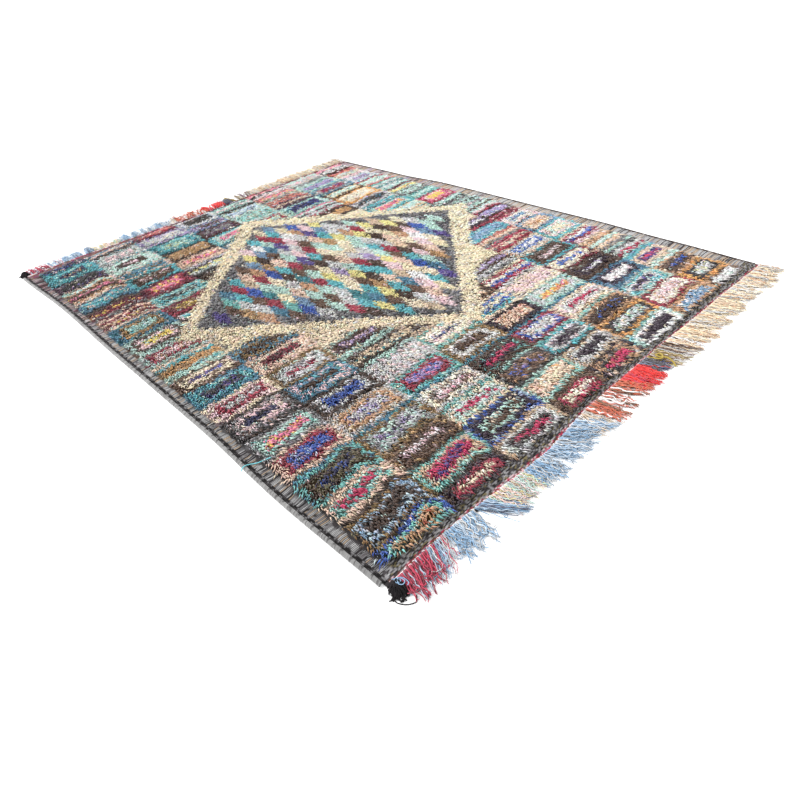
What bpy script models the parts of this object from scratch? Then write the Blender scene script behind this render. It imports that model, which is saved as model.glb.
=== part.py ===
"""A boucherouite rug lying flat on a floor, as closed solids, in metres.

The underside lies on Z = 0 and the middle of the rug is the origin. X runs across the width, from
the side edge with the thick wrapped cord to the plain side edge. Y runs along the warps, from the
near fringed end (-Y) to the far one. +Z is up.

The rug is one lumpy slab: flat-woven strips all round, and inside them a knotted pile of oblong
boxes in eight columns, with a large lozenge of small diamonds in the middle and locks at its rim.
A wrapped cord runs along one side. The warp ends are a fringe in bundles of many colours, each
bundle on its own narrow strip, and a black tassel sits at each corner of the corded side.
"""

import math
import random
from collections import namedtuple

import bmesh
import bpy

# Driving sizes
FRINGE_TIP = 1.200  # from the middle to the tips of the longest strands
GAP = 0.0003  # between neighbouring pieces
WEAVE_HEIGHT = 0.0045  # flat-woven strips at the sides and ends

# Outline of the whole width, by the share of the way from the near end to the far end
EdgePoint = namedtuple("EdgePoint", "share reach")
SIDE_SPAN = 2.21
CORDED_SIDE = (
    EdgePoint(0.00, 0.888),
    EdgePoint(0.15, 0.892),
    EdgePoint(0.34, 0.880),
    EdgePoint(0.58, 0.879),
    EdgePoint(0.80, 0.873),
    EdgePoint(1.00, 0.885),
)
PLAIN_SIDE = (
    EdgePoint(0.00, 0.859),
    EdgePoint(0.14, 0.872),
    EdgePoint(0.30, 0.886),
    EdgePoint(0.66, 0.892),
    EdgePoint(0.80, 0.868),
    EdgePoint(1.00, 0.859),
)

# Outline of the cloth's ends, by the share of the way from the corded side to the plain side
END_SPAN = 1.784
NEAR_END = (
    EdgePoint(0.00, 1.108),
    EdgePoint(0.10, 1.100),
    EdgePoint(0.29, 1.114),
    EdgePoint(0.42, 1.097),
    EdgePoint(0.58, 1.097),
    EdgePoint(0.78, 1.104),
    EdgePoint(1.00, 1.112),
)
FAR_END = (
    EdgePoint(0.00, 1.104),
    EdgePoint(0.15, 1.112),
    EdgePoint(0.30, 1.106),
    EdgePoint(0.50, 1.094),
    EdgePoint(0.66, 1.100),
    EdgePoint(0.82, 1.096),
    EdgePoint(1.00, 1.104),
)
NEAR, FAR = -1, 1

# Pile field
PILE_LEFT = -0.818
COLUMN_WIDTHS = (0.168, 0.215, 0.215, 0.199, 0.207, 0.215, 0.233, 0.165)
PILE_NEAR, PILE_FAR = -1.083, 1.052
ROWS = 22
CELLS_ACROSS = 6  # grid cells in each box, across and along
CELLS_ALONG = 3
RIM_RUN = 0.006  # how far the rim of the pile slopes out to its foot
RIM_HEIGHT = 0.0115
GROOVE_HEIGHT = 0.0108
BOX_CROWN = 0.0070  # of a box above its groove
SHOULDER_SHARE = 0.7  # of that crown one cell in from a groove
BOX_VARIATION = 0.0012
LINE_WANDER = 0.004  # how far the grooves wander
LUMP = 0.0007  # slow unevenness of the whole pile

# Lozenge in the middle of the pile
LOZENGE_X, LOZENGE_Y = 0.004, 0.085
LOZENGE_HALF_WIDTH, LOZENGE_HALF_LENGTH = 0.672, 0.676
BAND_SHARE = 0.89  # the field of diamonds fills this share of the lozenge
BAND_HEIGHT = 0.0165
DIAMOND_CROWN, DIAMOND_EDGE = 0.0180, 0.0145
DIAMOND_STEPS = 4  # cells along from one row of like diamonds to the next

# Locks at the rim of the pile
LOCK_EVERY = 3  # rim cells from one lock to the next
LOCK_TAPER = 0.45
LOCK_LIFT = 0.0010
SIDE_LOCK, END_LOCK = (0.009, 0.015), (0.006, 0.010)  # shortest and longest

# Wrapped cord along the corded side
CORD_WIDTH, CORD_HEIGHT = 0.0156, 0.0150
CORD_NEAR, CORD_FAR = -1.091, 1.092
CORD_TURNS = 64
CORD_BULGE = 0.05  # every second turn is this much fatter on top
CordPoint = namedtuple("CordPoint", "across up")
CORD_PROFILE = (
    CordPoint(-0.45, 0.0),
    CordPoint(1.0, 0.0),
    CordPoint(1.0, 0.45),
    CordPoint(0.70, 0.85),
    CordPoint(0.0, 1.0),
    CordPoint(-0.70, 0.85),
    CordPoint(-1.0, 0.45),
)

# Fringe: the same bundles of coloured warps at both ends
STRIP_DEPTH = 0.006
STRAND_BEND = 0.010  # how far the tips sway sideways
STRAND_STRAY = 0.002
STRAND_CURVE = 1.5  # power of the way along by which the sway grows
StrandRing = namedtuple("StrandRing", "along width height")
STRAND_RINGS = (
    StrandRing(0.0, 0.66, 0.0045),
    StrandRing(0.5, 0.60, 0.0070),
    StrandRing(1.0, 0.34, 0.0040),
)
SHORTEST_STRAND = 0.82  # share of the full length
LONGEST_DRAW = 1.2  # a strand drawn past 1 stops at the full length
Bundle = namedtuple("Bundle", "name start end strands colour")
BUNDLES = (
    Bundle("crimson", -0.852, -0.760, 6, (0.42, 0.03, 0.09)),
    Bundle("pale_blue", -0.760, -0.708, 3, (0.48, 0.58, 0.66)),
    Bundle("sky_blue", -0.708, -0.604, 6, (0.33, 0.47, 0.60)),
    Bundle("blue_tuft", -0.604, -0.560, 2, (0.24, 0.37, 0.52)),
    Bundle("peach_green", -0.560, -0.450, 6, (0.72, 0.60, 0.42)),
    Bundle("light_blue", -0.450, -0.210, 14, (0.36, 0.50, 0.62)),
    Bundle("white", -0.210, -0.174, 2, (0.75, 0.70, 0.62)),
    Bundle("terracotta", -0.174, -0.010, 9, (0.55, 0.19, 0.11)),
    Bundle("red", -0.010, 0.092, 6, (0.80, 0.02, 0.02)),
    Bundle("slate", 0.092, 0.139, 3, (0.12, 0.16, 0.26)),
    Bundle("mustard", 0.139, 0.197, 3, (0.42, 0.33, 0.06)),
    Bundle("brown_beige", 0.197, 0.267, 4, (0.42, 0.32, 0.22)),
    Bundle("cream", 0.267, 0.856, 34, (0.72, 0.62, 0.42)),
)

# Black tassel at each corner of the corded side
TASSEL_X = -0.871
TASSEL_RADIUS, TASSEL_HEIGHT = 0.0155, 0.0150
TASSEL_SIDES = 12
TASSEL_GAP = 0.0004  # the cloth's end slants a little behind the tassel's flat side
TASSEL_STRANDS = (-120, -90, -60)  # degrees of the sides that carry a strand
TASSEL_STRAND_LENGTH = 0.020
TASSEL_STRAND_TAPER = 0.6
TASSEL_STRAND_DROP = 0.6
TasselRing = namedtuple("TasselRing", "radius up")
TASSEL_RINGS = (TasselRing(1.0, 0.0), TasselRing(1.0, 0.5), TasselRing(0.7, 0.88))

# Colours of the other pieces
CLOTH_COLOUR = (0.36, 0.33, 0.30)
CORD_COLOUR = (0.42, 0.42, 0.41)
BLACK = (0.012, 0.011, 0.013)
ROUGHNESS = 0.92
SEED = 11


def clear_scene():
    """Removes whatever the scene starts with."""
    for obj in list(bpy.data.objects):
        bpy.data.objects.remove(obj, do_unlink=True)


def yarn_material(name, colour):
    """A rough yarn of one colour."""
    material = bpy.data.materials.new(name)
    material.use_nodes = True
    shader = material.node_tree.nodes["Principled BSDF"]
    shader.inputs["Base Color"].default_value = (*colour, 1.0)
    shader.inputs["Roughness"].default_value = ROUGHNESS
    shader.inputs["Metallic"].default_value = 0.0
    return material


def finish(name, bm, colour):
    """Turns a closed bmesh into a named object with faces outwards and its own material."""
    bmesh.ops.recalc_face_normals(bm, faces=bm.faces)
    mesh = bpy.data.meshes.new(name)
    bm.to_mesh(mesh)
    bm.free()
    mesh.materials.append(yarn_material(f"{name}_yarn", colour))
    obj = bpy.data.objects.new(name, mesh)
    bpy.context.scene.collection.objects.link(obj)
    return obj


def eased(table, share):
    """The reach at a share along a table of edge points, eased from row to row."""
    share = min(max(share, 0.0), 1.0)
    for low, high in zip(table, table[1:]):
        if share <= high.share:
            t = (share - low.share) / (high.share - low.share)
            return low.reach + (high.reach - low.reach) * (1 - math.cos(math.pi * t)) / 2
    return table[-1].reach


def corded_x(y):
    """The outer side of the wrapped cord at this place along the rug."""
    return -eased(CORDED_SIDE, y / SIDE_SPAN + 0.5)


def cloth_left(y):
    """The cloth's own edge beside the wrapped cord."""
    return corded_x(y) + CORD_WIDTH + GAP


def cloth_right(y):
    return eased(PLAIN_SIDE, y / SIDE_SPAN + 0.5)


def cloth_end(x, end):
    """The cloth's edge at the near or the far end, at this place across the rug."""
    return end * eased(NEAR_END if end == NEAR else FAR_END, x / END_SPAN + 0.5)


def grid_lines():
    """The places of the grid's lines across and along, from pile rim to pile rim."""
    across, left = [PILE_LEFT], PILE_LEFT
    for width in COLUMN_WIDTHS:
        across += [left + width * k / CELLS_ACROSS for k in range(1, CELLS_ACROSS + 1)]
        left += width
    cells = ROWS * CELLS_ALONG
    step = (PILE_FAR - PILE_NEAR) / cells
    return across, [PILE_NEAR + step * k for k in range(cells + 1)]


def lozenge_share(x, y):
    """0 in the middle of the lozenge, 1 on its outline."""
    return (
        abs(x - LOZENGE_X) / LOZENGE_HALF_WIDTH + abs(y - LOZENGE_Y) / LOZENGE_HALF_LENGTH
    )


def box_variation(column, row):
    """How much higher or lower this box is than the others."""
    return BOX_VARIATION * math.sin(12.7 * column + 7.9 * row + 1.3 * column * row)


def lump(x, y):
    """Slow unevenness of the pile."""
    return LUMP * (math.sin(9.1 * x + 4.3 * y) + math.sin(5.2 * y - 7.7 * x + 1.1))


def pile_height(x, y, i, j):
    """The pile's height at grid line i across and j along, both counted from its rim."""
    share = lozenge_share(x, y)
    if share < BAND_SHARE:
        on_centre = (i % 2 == 0 and j % DIAMOND_STEPS == 0) or (
            i % 2 == 1 and j % DIAMOND_STEPS == DIAMOND_STEPS // 2
        )
        return (DIAMOND_CROWN if on_centre else DIAMOND_EDGE) + lump(x, y)
    if share < 1:
        return BAND_HEIGHT + lump(x, y)
    beside, along = i % CELLS_ACROSS, j % CELLS_ALONG
    if beside == 0 or along == 0:
        return GROOVE_HEIGHT + lump(x, y)
    crown = BOX_CROWN * (SHOULDER_SHARE if beside in (1, CELLS_ACROSS - 1) else 1.0)
    box = box_variation(i // CELLS_ACROSS, j // CELLS_ALONG)
    return GROOVE_HEIGHT + crown + box + lump(x, y)


def pile_point(across, along, i, j):
    """A point on the pile's top. The lines inside the rim wander a little."""
    x, y = across[i], along[j]
    inside = 0 < i < len(across) - 1 and 0 < j < len(along) - 1
    if not inside:
        return x, y, RIM_HEIGHT + lump(x, y)
    z = pile_height(x, y, i, j)
    x += LINE_WANDER * math.sin(0.8 * i + 5.3 * y)
    y += LINE_WANDER * math.sin(6.1 * x + 0.7 * j)
    return x, y, z


def cloth_points():
    """Rows of points of the cloth's top: edge, foot of the pile, pile, foot, edge."""
    across, along = grid_lines()
    columns, rows = len(across), len(along)
    foot_x = (across[0] - RIM_RUN, across[-1] + RIM_RUN)
    foot_y = (along[0] - RIM_RUN, along[-1] + RIM_RUN)
    points = []
    for j in range(-2, rows + 2):
        line = []
        for i in range(-2, columns + 2):
            if 0 <= i < columns and 0 <= j < rows:
                line.append(pile_point(across, along, i, j))
                continue
            x = foot_x[0] if i < 0 else foot_x[1] if i >= columns else across[i]
            y = foot_y[0] if j < 0 else foot_y[1] if j >= rows else along[j]
            if i in (-2, columns + 1):
                x = cloth_left(y) if i < 0 else cloth_right(y)
            if j in (-2, rows + 1):
                y = cloth_end(x, NEAR if j < 0 else FAR)
                if i in (-2, columns + 1):
                    x = cloth_left(y) if i < 0 else cloth_right(y)
            line.append((x, y, WEAVE_HEIGHT))
        points.append(line)
    return points


def cloth_end_line(end):
    """The straight pieces of the cloth's edge at one end, as (x, y) points."""
    line = cloth_points()[0 if end == NEAR else -1]
    return [(x, y) for x, y, _ in line]


def add_locks(bm, rim_faces, outward, lengths, rng):
    """Pulls these cells of the pile's rim out into tapered locks over the flat weave."""
    grown = bmesh.ops.extrude_discrete_faces(bm, faces=rim_faces)["faces"]
    for face in grown:
        middle = face.calc_center_median()
        length = rng.uniform(*lengths)
        for vert in face.verts:
            vert.co = middle + (vert.co - middle) * LOCK_TAPER
            vert.co.x += outward[0] * length
            vert.co.y += outward[1] * length
            vert.co.z += LOCK_LIFT


def build_cloth():
    """The cloth with its pile as one closed slab with a flat underside."""
    points = cloth_points()
    rows, columns = len(points), len(points[0])
    bm = bmesh.new()
    top = [[bm.verts.new(p) for p in line] for line in points]
    faces = {}
    for j in range(rows - 1):
        for i in range(columns - 1):
            corners = (top[j][i], top[j][i + 1], top[j + 1][i + 1], top[j + 1][i])
            faces[i, j] = bm.faces.new(corners)
    rim = (
        [top[0][i] for i in range(columns)]
        + [top[j][-1] for j in range(1, rows)]
        + [top[-1][i] for i in range(columns - 2, -1, -1)]
        + [top[j][0] for j in range(rows - 2, 0, -1)]
    )
    under = [bm.verts.new((v.co.x, v.co.y, 0.0)) for v in rim]
    for k, low in enumerate(under):
        n = (k + 1) % len(under)
        bm.faces.new((rim[n], rim[k], low, under[n]))
    bm.faces.new(tuple(reversed(under)))
    rng = random.Random(SEED)
    locked_i = range(LOCK_EVERY, columns - LOCK_EVERY - 1, LOCK_EVERY)
    locked_j = range(LOCK_EVERY, rows - LOCK_EVERY - 1, LOCK_EVERY)
    add_locks(bm, [faces[1, j] for j in locked_j], (-1, 0), SIDE_LOCK, rng)
    add_locks(bm, [faces[columns - 3, j] for j in locked_j], (1, 0), SIDE_LOCK, rng)
    add_locks(bm, [faces[i, 1] for i in locked_i], (0, NEAR), END_LOCK, rng)
    add_locks(bm, [faces[i, rows - 3] for i in locked_i], (0, FAR), END_LOCK, rng)
    return finish("rug_cloth", bm, CLOTH_COLOUR)


def build_side_cord():
    """The thick wrapped cord along one side: a flat-bottomed roll, pressed against the cloth."""
    bm = bmesh.new()
    rings = []
    for k in range(CORD_TURNS + 1):
        y = CORD_NEAR + (CORD_FAR - CORD_NEAR) * k / CORD_TURNS
        middle = corded_x(y) + CORD_WIDTH / 2
        ring = []
        for p in CORD_PROFILE:
            # The flat underside and the side that faces the cloth stay in line.
            swell = 1.0 if k % 2 or p.across > 0 else 1.0 - CORD_BULGE
            x = middle + p.across * swell * CORD_WIDTH / 2
            ring.append(bm.verts.new((x, y, p.up * swell * CORD_HEIGHT)))
        rings.append(ring)
    sides = len(CORD_PROFILE)
    for one, other in zip(rings, rings[1:]):
        for s in range(sides):
            t = (s + 1) % sides
            bm.faces.new((one[s], one[t], other[t], other[s]))
    bm.faces.new(rings[0])
    bm.faces.new(rings[-1])
    return finish("side_cord", bm, CORD_COLOUR)


def on_line(line, x):
    """The y of a line of (x, y) points at x."""
    for (x0, y0), (x1, y1) in zip(line, line[1:]):
        if x <= x1:
            return y0 + (y1 - y0) * (x - x0) / (x1 - x0)
    return line[-1][1]


def sway(x):
    """How far the tip of a strand rooted at x lies to one side."""
    return STRAND_BEND * math.sin(6.3 * x + 0.9)


def strand_rings(bm, root, tip_y, stray):
    """Rings of four points along one strand, from the strip to its tip. It rests on Z = 0."""
    (x0, y0), (x1, y1) = root
    middle_x, middle_y = (x0 + x1) / 2, (y0 + y1) / 2
    pitch = (x1 - x0) / STRAND_RINGS[0].width
    rings = []
    for ring in STRAND_RINGS:
        if ring.along == 0.0:
            ends = ((x0, y0), (x1, y1))
        else:
            x = middle_x + (sway(middle_x) + stray) * ring.along**STRAND_CURVE
            y = middle_y + (tip_y - middle_y) * ring.along
            half = pitch * ring.width / 2
            ends = ((x - half, y), (x + half, y))
        (xa, ya), (xb, yb) = ends
        rings.append(
            (
                bm.verts.new((xa, ya, 0.0)),
                bm.verts.new((xb, yb, 0.0)),
                bm.verts.new((xb, yb, ring.height)),
                bm.verts.new((xa, ya, ring.height)),
            )
        )
    return rings


def build_bundle(bundle, end, rng):
    """One colour of the fringe: a narrow strip beside the cloth's end with its strands."""
    line = cloth_end_line(end)
    left, right = bundle.start + GAP / 2, bundle.end - GAP / 2
    inner = [left] + [x for x, _ in line if left < x < right] + [right]
    bm = bmesh.new()

    def column(x, depth):
        y = on_line(line, x) + end * depth
        return bm.verts.new((x, y, 0.0)), bm.verts.new((x, y, WEAVE_HEIGHT))

    inside = [column(x, GAP) for x in inner]
    pitch = (right - left) / bundle.strands
    margin = (1 - STRAND_RINGS[0].width) / 2
    outside = [column(left, GAP + STRIP_DEPTH)]
    for k in range(bundle.strands):
        x0, x1 = left + pitch * (k + margin), left + pitch * (k + 1 - margin)
        root = [(x, on_line(line, x) + end * (GAP + STRIP_DEPTH)) for x in (x0, x1)]
        share = min(1.0, rng.uniform(SHORTEST_STRAND, LONGEST_DRAW))
        tip_y = root[0][1] + (end * FRINGE_TIP - root[0][1]) * share
        rings = strand_rings(bm, root, tip_y, rng.uniform(-STRAND_STRAY, STRAND_STRAY))
        for one, other in zip(rings, rings[1:]):
            for s in range(4):
                t = (s + 1) % 4
                bm.faces.new((one[s], one[t], other[t], other[s]))
        bm.faces.new(rings[-1])
        outside += [(rings[0][0], rings[0][3]), (rings[0][1], rings[0][2])]
    outside.append(column(right, GAP + STRIP_DEPTH))
    for k in range(0, len(outside) - 1, 2):
        (a0, a1), (b0, b1) = outside[k], outside[k + 1]
        bm.faces.new((a0, b0, b1, a1))
    for (a0, a1), (b0, b1) in zip(inside, inside[1:]):
        bm.faces.new((a0, a1, b1, b0))
    for one, other in ((inside[0], outside[0]), (inside[-1], outside[-1])):
        bm.faces.new((one[0], other[0], other[1], one[1]))
    for level in (0, 1):
        bm.faces.new([c[level] for c in inside] + [c[level] for c in reversed(outside)])
    side = "near" if end == NEAR else "far"
    return finish(f"fringe_{side}_{bundle.name}", bm, bundle.colour)


def build_tassel(end, line):
    """A black corner tassel: a low round head on the floor with a few short strands."""
    flat_side = TASSEL_RADIUS * math.cos(math.pi / TASSEL_SIDES)
    centre_y = on_line(line, TASSEL_X) + end * (flat_side + TASSEL_GAP)
    bm = bmesh.new()
    rings = []
    for ring in TASSEL_RINGS:
        radius = ring.radius * TASSEL_RADIUS
        points = []
        for k in range(TASSEL_SIDES):
            turn = math.radians(360 * (k + 0.5) / TASSEL_SIDES)
            x = TASSEL_X + radius * math.cos(turn)
            y = centre_y + radius * math.sin(turn)
            points.append(bm.verts.new((x, y, ring.up * TASSEL_HEIGHT)))
        rings.append(points)
    sides = []
    for one, other in zip(rings, rings[1:]):
        for k in range(TASSEL_SIDES):
            n = (k + 1) % TASSEL_SIDES
            sides.append(bm.faces.new((one[k], one[n], other[n], other[k])))
    bm.faces.new(rings[-1])
    bm.faces.new(rings[0])
    for degrees in TASSEL_STRANDS:
        turn = math.radians(degrees if end == NEAR else -degrees)
        k = round(math.degrees(turn) * TASSEL_SIDES / 360) - 1
        grown = bmesh.ops.extrude_discrete_faces(bm, faces=[sides[k % TASSEL_SIDES]])["faces"]
        middle = grown[0].calc_center_median()
        for vert in grown[0].verts:
            x = middle.x + (vert.co.x - middle.x) * TASSEL_STRAND_TAPER
            y = middle.y + (vert.co.y - middle.y) * TASSEL_STRAND_TAPER
            vert.co.x = x + TASSEL_STRAND_LENGTH * math.cos(turn)
            vert.co.y = y + TASSEL_STRAND_LENGTH * math.sin(turn)
            vert.co.z *= TASSEL_STRAND_DROP
    return finish(f"corner_tassel_{'near' if end == NEAR else 'far'}", bm, BLACK)


def main():
    clear_scene()
    build_cloth()
    build_side_cord()
    rng = random.Random(SEED + 1)
    for end in (NEAR, FAR):
        for bundle in BUNDLES:
            build_bundle(bundle, end, rng)
        build_tassel(end, cloth_end_line(end))


main()
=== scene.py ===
"""The looks of a boucherouite rug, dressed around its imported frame.

The rug lies flat on a pale floor. A ground weave carries a pile of about 140 thousand rag
tufts, knotted in oblong boxes round a lozenge of diamonds. Ribbed weave, overcast warps and a
wrapped cord finish its sides, and twined chains, a fringe of many colours and two black tassels
finish its ends. Lengths are in metres, X runs across the rug from the corded side, Y along the
warps to the far end, and Z up.
"""

import logging
import math
from dataclasses import dataclass, field
from enum import Enum
from typing import NamedTuple

import bpy
import numpy as np
from mathutils import Matrix, Vector


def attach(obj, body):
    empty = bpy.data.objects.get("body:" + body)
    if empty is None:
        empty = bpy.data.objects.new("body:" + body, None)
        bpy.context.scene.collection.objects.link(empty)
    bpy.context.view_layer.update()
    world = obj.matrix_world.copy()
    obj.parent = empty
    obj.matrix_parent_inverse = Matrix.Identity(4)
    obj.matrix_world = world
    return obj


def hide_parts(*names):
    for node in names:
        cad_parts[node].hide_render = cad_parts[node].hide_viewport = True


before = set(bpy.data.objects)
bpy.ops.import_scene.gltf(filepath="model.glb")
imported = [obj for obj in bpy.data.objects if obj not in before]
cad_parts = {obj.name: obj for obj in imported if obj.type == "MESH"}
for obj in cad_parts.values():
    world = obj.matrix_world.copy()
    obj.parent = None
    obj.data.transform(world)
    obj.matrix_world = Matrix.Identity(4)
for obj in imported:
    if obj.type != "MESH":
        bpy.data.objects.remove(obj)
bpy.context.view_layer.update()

Array = np.ndarray
Pair = tuple[float, float]
Point = tuple[float, float, float]
Piece = bpy.types.Object
LOG = logging.getLogger("rug")
BODY = "root"
YARN_COLOUR = "yarn_colour"
BAKE_MAP = "OFBake"
# The corners of a tuft's four faces on the bake's map, in a strip of two squares
BLADE_STRIP = (
    *((0.1, 0.1), (0.1, 0.9), (1.0, 0.1)),
    *((1.0, 0.9), (1.0, 0.1), (0.1, 0.9)),
    *((1.9, 0.1), (1.0, 0.1), (1.0, 0.9)),
    *((1.9, 0.1), (1.0, 0.9), (1.9, 0.9)),
)
# How much red, green and blue add to the light of a colour
LUMINANCE = np.array([0.2126, 0.7152, 0.0722])
UP = np.array([0.0, 0.0, 1.0])
FULL_TURN = 2 * math.pi


class End(Enum):
    """The two fringed ends of the rug, as the sign of their Y."""

    NEAR = -1
    FAR = 1


class Yarn(Enum):
    """The yarns and rags of the rug, as red, green and blue in daylight, from 0 to 255."""

    BLACK = (30, 27, 29)
    CHARCOAL = (70, 66, 68)
    UMBER = (92, 62, 46)
    BROWN = (126, 92, 72)
    OCHRE = (156, 120, 66)
    CAMEL = (194, 154, 108)
    TAN = (208, 162, 126)
    BEIGE = (214, 190, 164)
    PEACH = (234, 202, 182)
    CREAM = (236, 219, 192)
    STRAW = (236, 218, 184)
    IVORY = (240, 228, 206)
    WHITE = (240, 237, 236)
    SILVER = (206, 206, 206)
    GREY = (148, 146, 148)
    JADE = (120, 190, 184)
    MINT = (184, 216, 206)
    TEAL = (54, 142, 152)
    PETROL = (86, 144, 172)
    TURQUOISE = (98, 186, 196)
    ROYAL = (62, 106, 204)
    NAVY = (50, 54, 112)
    SLATE = (96, 102, 124)
    SKY = (128, 164, 196)
    PALE_BLUE = (178, 196, 214)
    LILAC = (180, 160, 204)
    VIOLET = (104, 84, 168)
    AUBERGINE = (68, 40, 72)
    PLUM = (104, 52, 92)
    CRIMSON = (188, 52, 82)
    WINE = (136, 44, 66)
    HOT_PINK = (226, 52, 112)
    PINK = (240, 136, 168)
    BLUSH = (234, 202, 206)
    SALMON = (216, 134, 122)
    ORANGE = (238, 172, 104)
    YELLOW = (242, 212, 104)
    LEMON = (228, 216, 146)
    RED = (226, 34, 32)
    RUST = (196, 96, 66)
    OLIVE = (118, 108, 76)
    MUSTARD = (164, 142, 56)

    @property
    def linear(self) -> Array:
        """The colour as linear light, from 0 to 1."""
        shade = np.array(self.value, float) / 255
        return np.where(shade <= 0.04045, shade / 12.92, ((shade + 0.055) / 1.055) ** 2.4)


def yarns(words: str) -> list[Yarn]:
    """The yarns of a mixture such as 'tan+ochre', the main one first."""
    return [Yarn[word.strip().upper()] for word in words.split("+")]


def mixture_colours(words: str) -> Array:
    """The linear colours of a mixture of yarns, one row each."""
    return np.array([yarn.linear for yarn in yarns(words)])


def draw_rows(colours: Array, size: int | tuple[int, ...], rng: np.random.Generator) -> Array:
    """Draws rows at random from a list of colours."""
    return colours[rng.integers(len(colours), size=size)]


def ripple(x: Array | float, y: Array, wavelength: float, seed: int) -> Array:
    """A smooth random field with a mean of 0 and a spread of about 1.

    Formula in words: the sum of seven sine waves of nearly the same length, which run in random
    directions from random starts, over the square root of half their number.

    Args:
        x: Places across the rug.
        y: Places along the rug.
        wavelength: The usual distance from crest to crest.
        seed: Picks the directions and starts.

    Returns:
        The field's value at each place.
    """
    waves = 7
    rng = np.random.default_rng(seed)
    total = np.zeros(np.broadcast(x, y).shape)
    for turn, start, stretch in rng.uniform((0, 0, 0.75), (FULL_TURN, FULL_TURN, 1.35), (waves, 3)):
        across = x * math.cos(turn) + y * math.sin(turn)
        total += np.sin(FULL_TURN / (wavelength * stretch) * across + start)
    return total / math.sqrt(waves / 2)


def new_object(name: str, data: bpy.types.ID) -> Piece:
    """Adds an object with this data to the scene."""
    made = bpy.data.objects.new(name, data)
    bpy.context.scene.collection.objects.link(made)
    return made


def link_mesh(name: str, mesh: bpy.types.Mesh) -> Piece:
    """Puts a mesh into the scene as a smooth object that stands at the origin."""
    mesh.update()
    mesh.validate()
    mesh.polygons.foreach_set("use_smooth", np.full(len(mesh.polygons), True))
    return new_object(name, mesh)


def paint(mesh: bpy.types.Mesh, colours: Array) -> None:
    """Writes a linear colour on each vertex of a mesh.

    Args:
        mesh: The mesh.
        colours: Red, green and blue, one row for each vertex.
    """
    layer = mesh.color_attributes.new(YARN_COLOUR, "FLOAT_COLOR", "POINT")
    opaque = np.concatenate([np.clip(colours, 0, 1), np.ones((len(colours), 1))], axis=1)
    layer.data.foreach_set("color", opaque.astype(np.float32).ravel())


def fill_mesh(name: str, points: Array, corners: Array, starts: Array) -> bpy.types.Mesh:
    """Makes a mesh from whole arrays.

    Args:
        name: The mesh's name.
        points: Vertices, one row each.
        corners: Vertex numbers of all the faces, one after another.
        starts: Where each face begins in corners.

    Returns:
        The new mesh.
    """
    mesh = bpy.data.meshes.new(name)
    mesh.vertices.add(len(points))
    mesh.vertices.foreach_set("co", points.astype(np.float32).ravel())
    mesh.loops.add(len(corners))
    mesh.loops.foreach_set("vertex_index", corners.astype(np.int32))
    mesh.polygons.add(len(starts))
    mesh.polygons.foreach_set("loop_start", starts.astype(np.int32))
    return mesh


def loft(name: str, rings: Array, colours: Array) -> Piece:
    """Carries closed profiles along their paths and caps both ends.

    Formula in words: each ring's points are joined to the same points of the next ring by
    four-sided faces, and the first and last rings are closed by one face each.

    Args:
        name: The piece's name.
        rings: Points, as tubes by rings by points round the ring by 3.
        colours: Their colours, in the same shape.

    Returns:
        The piece, with its faces outwards.
    """
    tubes, count, sides, _ = rings.shape
    low, high = rings[:, :-1], rings[:, 1:]
    middle = low.mean(axis=2, keepdims=True)
    span = (high.mean(axis=2) - low.mean(axis=2))[:, :, None]
    area = np.cross(low - middle, np.roll(low, -1, axis=2) - middle)
    if (area * span).sum() > 0:
        rings, colours = rings[:, :, ::-1], colours[:, :, ::-1]
    number = np.arange(tubes * count * sides).reshape(tubes, count, sides)
    one, other = number[:, :-1], number[:, 1:]
    quads = np.stack(
        [one, other, np.roll(other, -1, axis=2), np.roll(one, -1, axis=2)], axis=-1
    ).reshape(-1)
    caps = np.concatenate([number[:, 0], number[:, -1, ::-1]]).reshape(-1)
    corners = np.concatenate([quads, caps])
    starts = np.concatenate(
        [np.arange(0, len(quads), 4), len(quads) + np.arange(0, len(caps), sides)]
    )
    mesh = fill_mesh(name, rings.reshape(-1, 3), corners, starts)
    paint(mesh, np.broadcast_to(colours, rings.shape).reshape(-1, 3))
    return link_mesh(name, mesh)


def tubes_along(paths: Array, radii: Array, sides: int, flatness: float = 1.0) -> Array:
    """Rings of a round or oval profile along many paths at once.

    Formula in words: at each point the profile stands square to the path, with one axis level
    and the other as near upright as the path allows, each times the radius there.

    Args:
        paths: Points, as tubes by points by 3.
        radii: The radius at each point, as tubes by points.
        sides: Points round the profile.
        flatness: Height of the profile over its width.

    Returns:
        Rings, as tubes by points by sides by 3.
    """
    along = np.gradient(paths, axis=1)
    along /= np.linalg.norm(along, axis=-1, keepdims=True) + 1e-12
    level = np.cross(along, UP)
    length = np.linalg.norm(level, axis=-1, keepdims=True)
    level = np.where(length > 1e-4, level / (length + 1e-12), np.array([1.0, 0.0, 0.0]))
    upright = np.cross(level, along)
    turn = np.arange(sides) * FULL_TURN / sides
    circle = (
        level[:, :, None] * np.cos(turn)[:, None]
        + upright[:, :, None] * np.sin(turn)[:, None] * flatness
    )
    return paths[:, :, None] + circle * radii[:, :, None, None]


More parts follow.
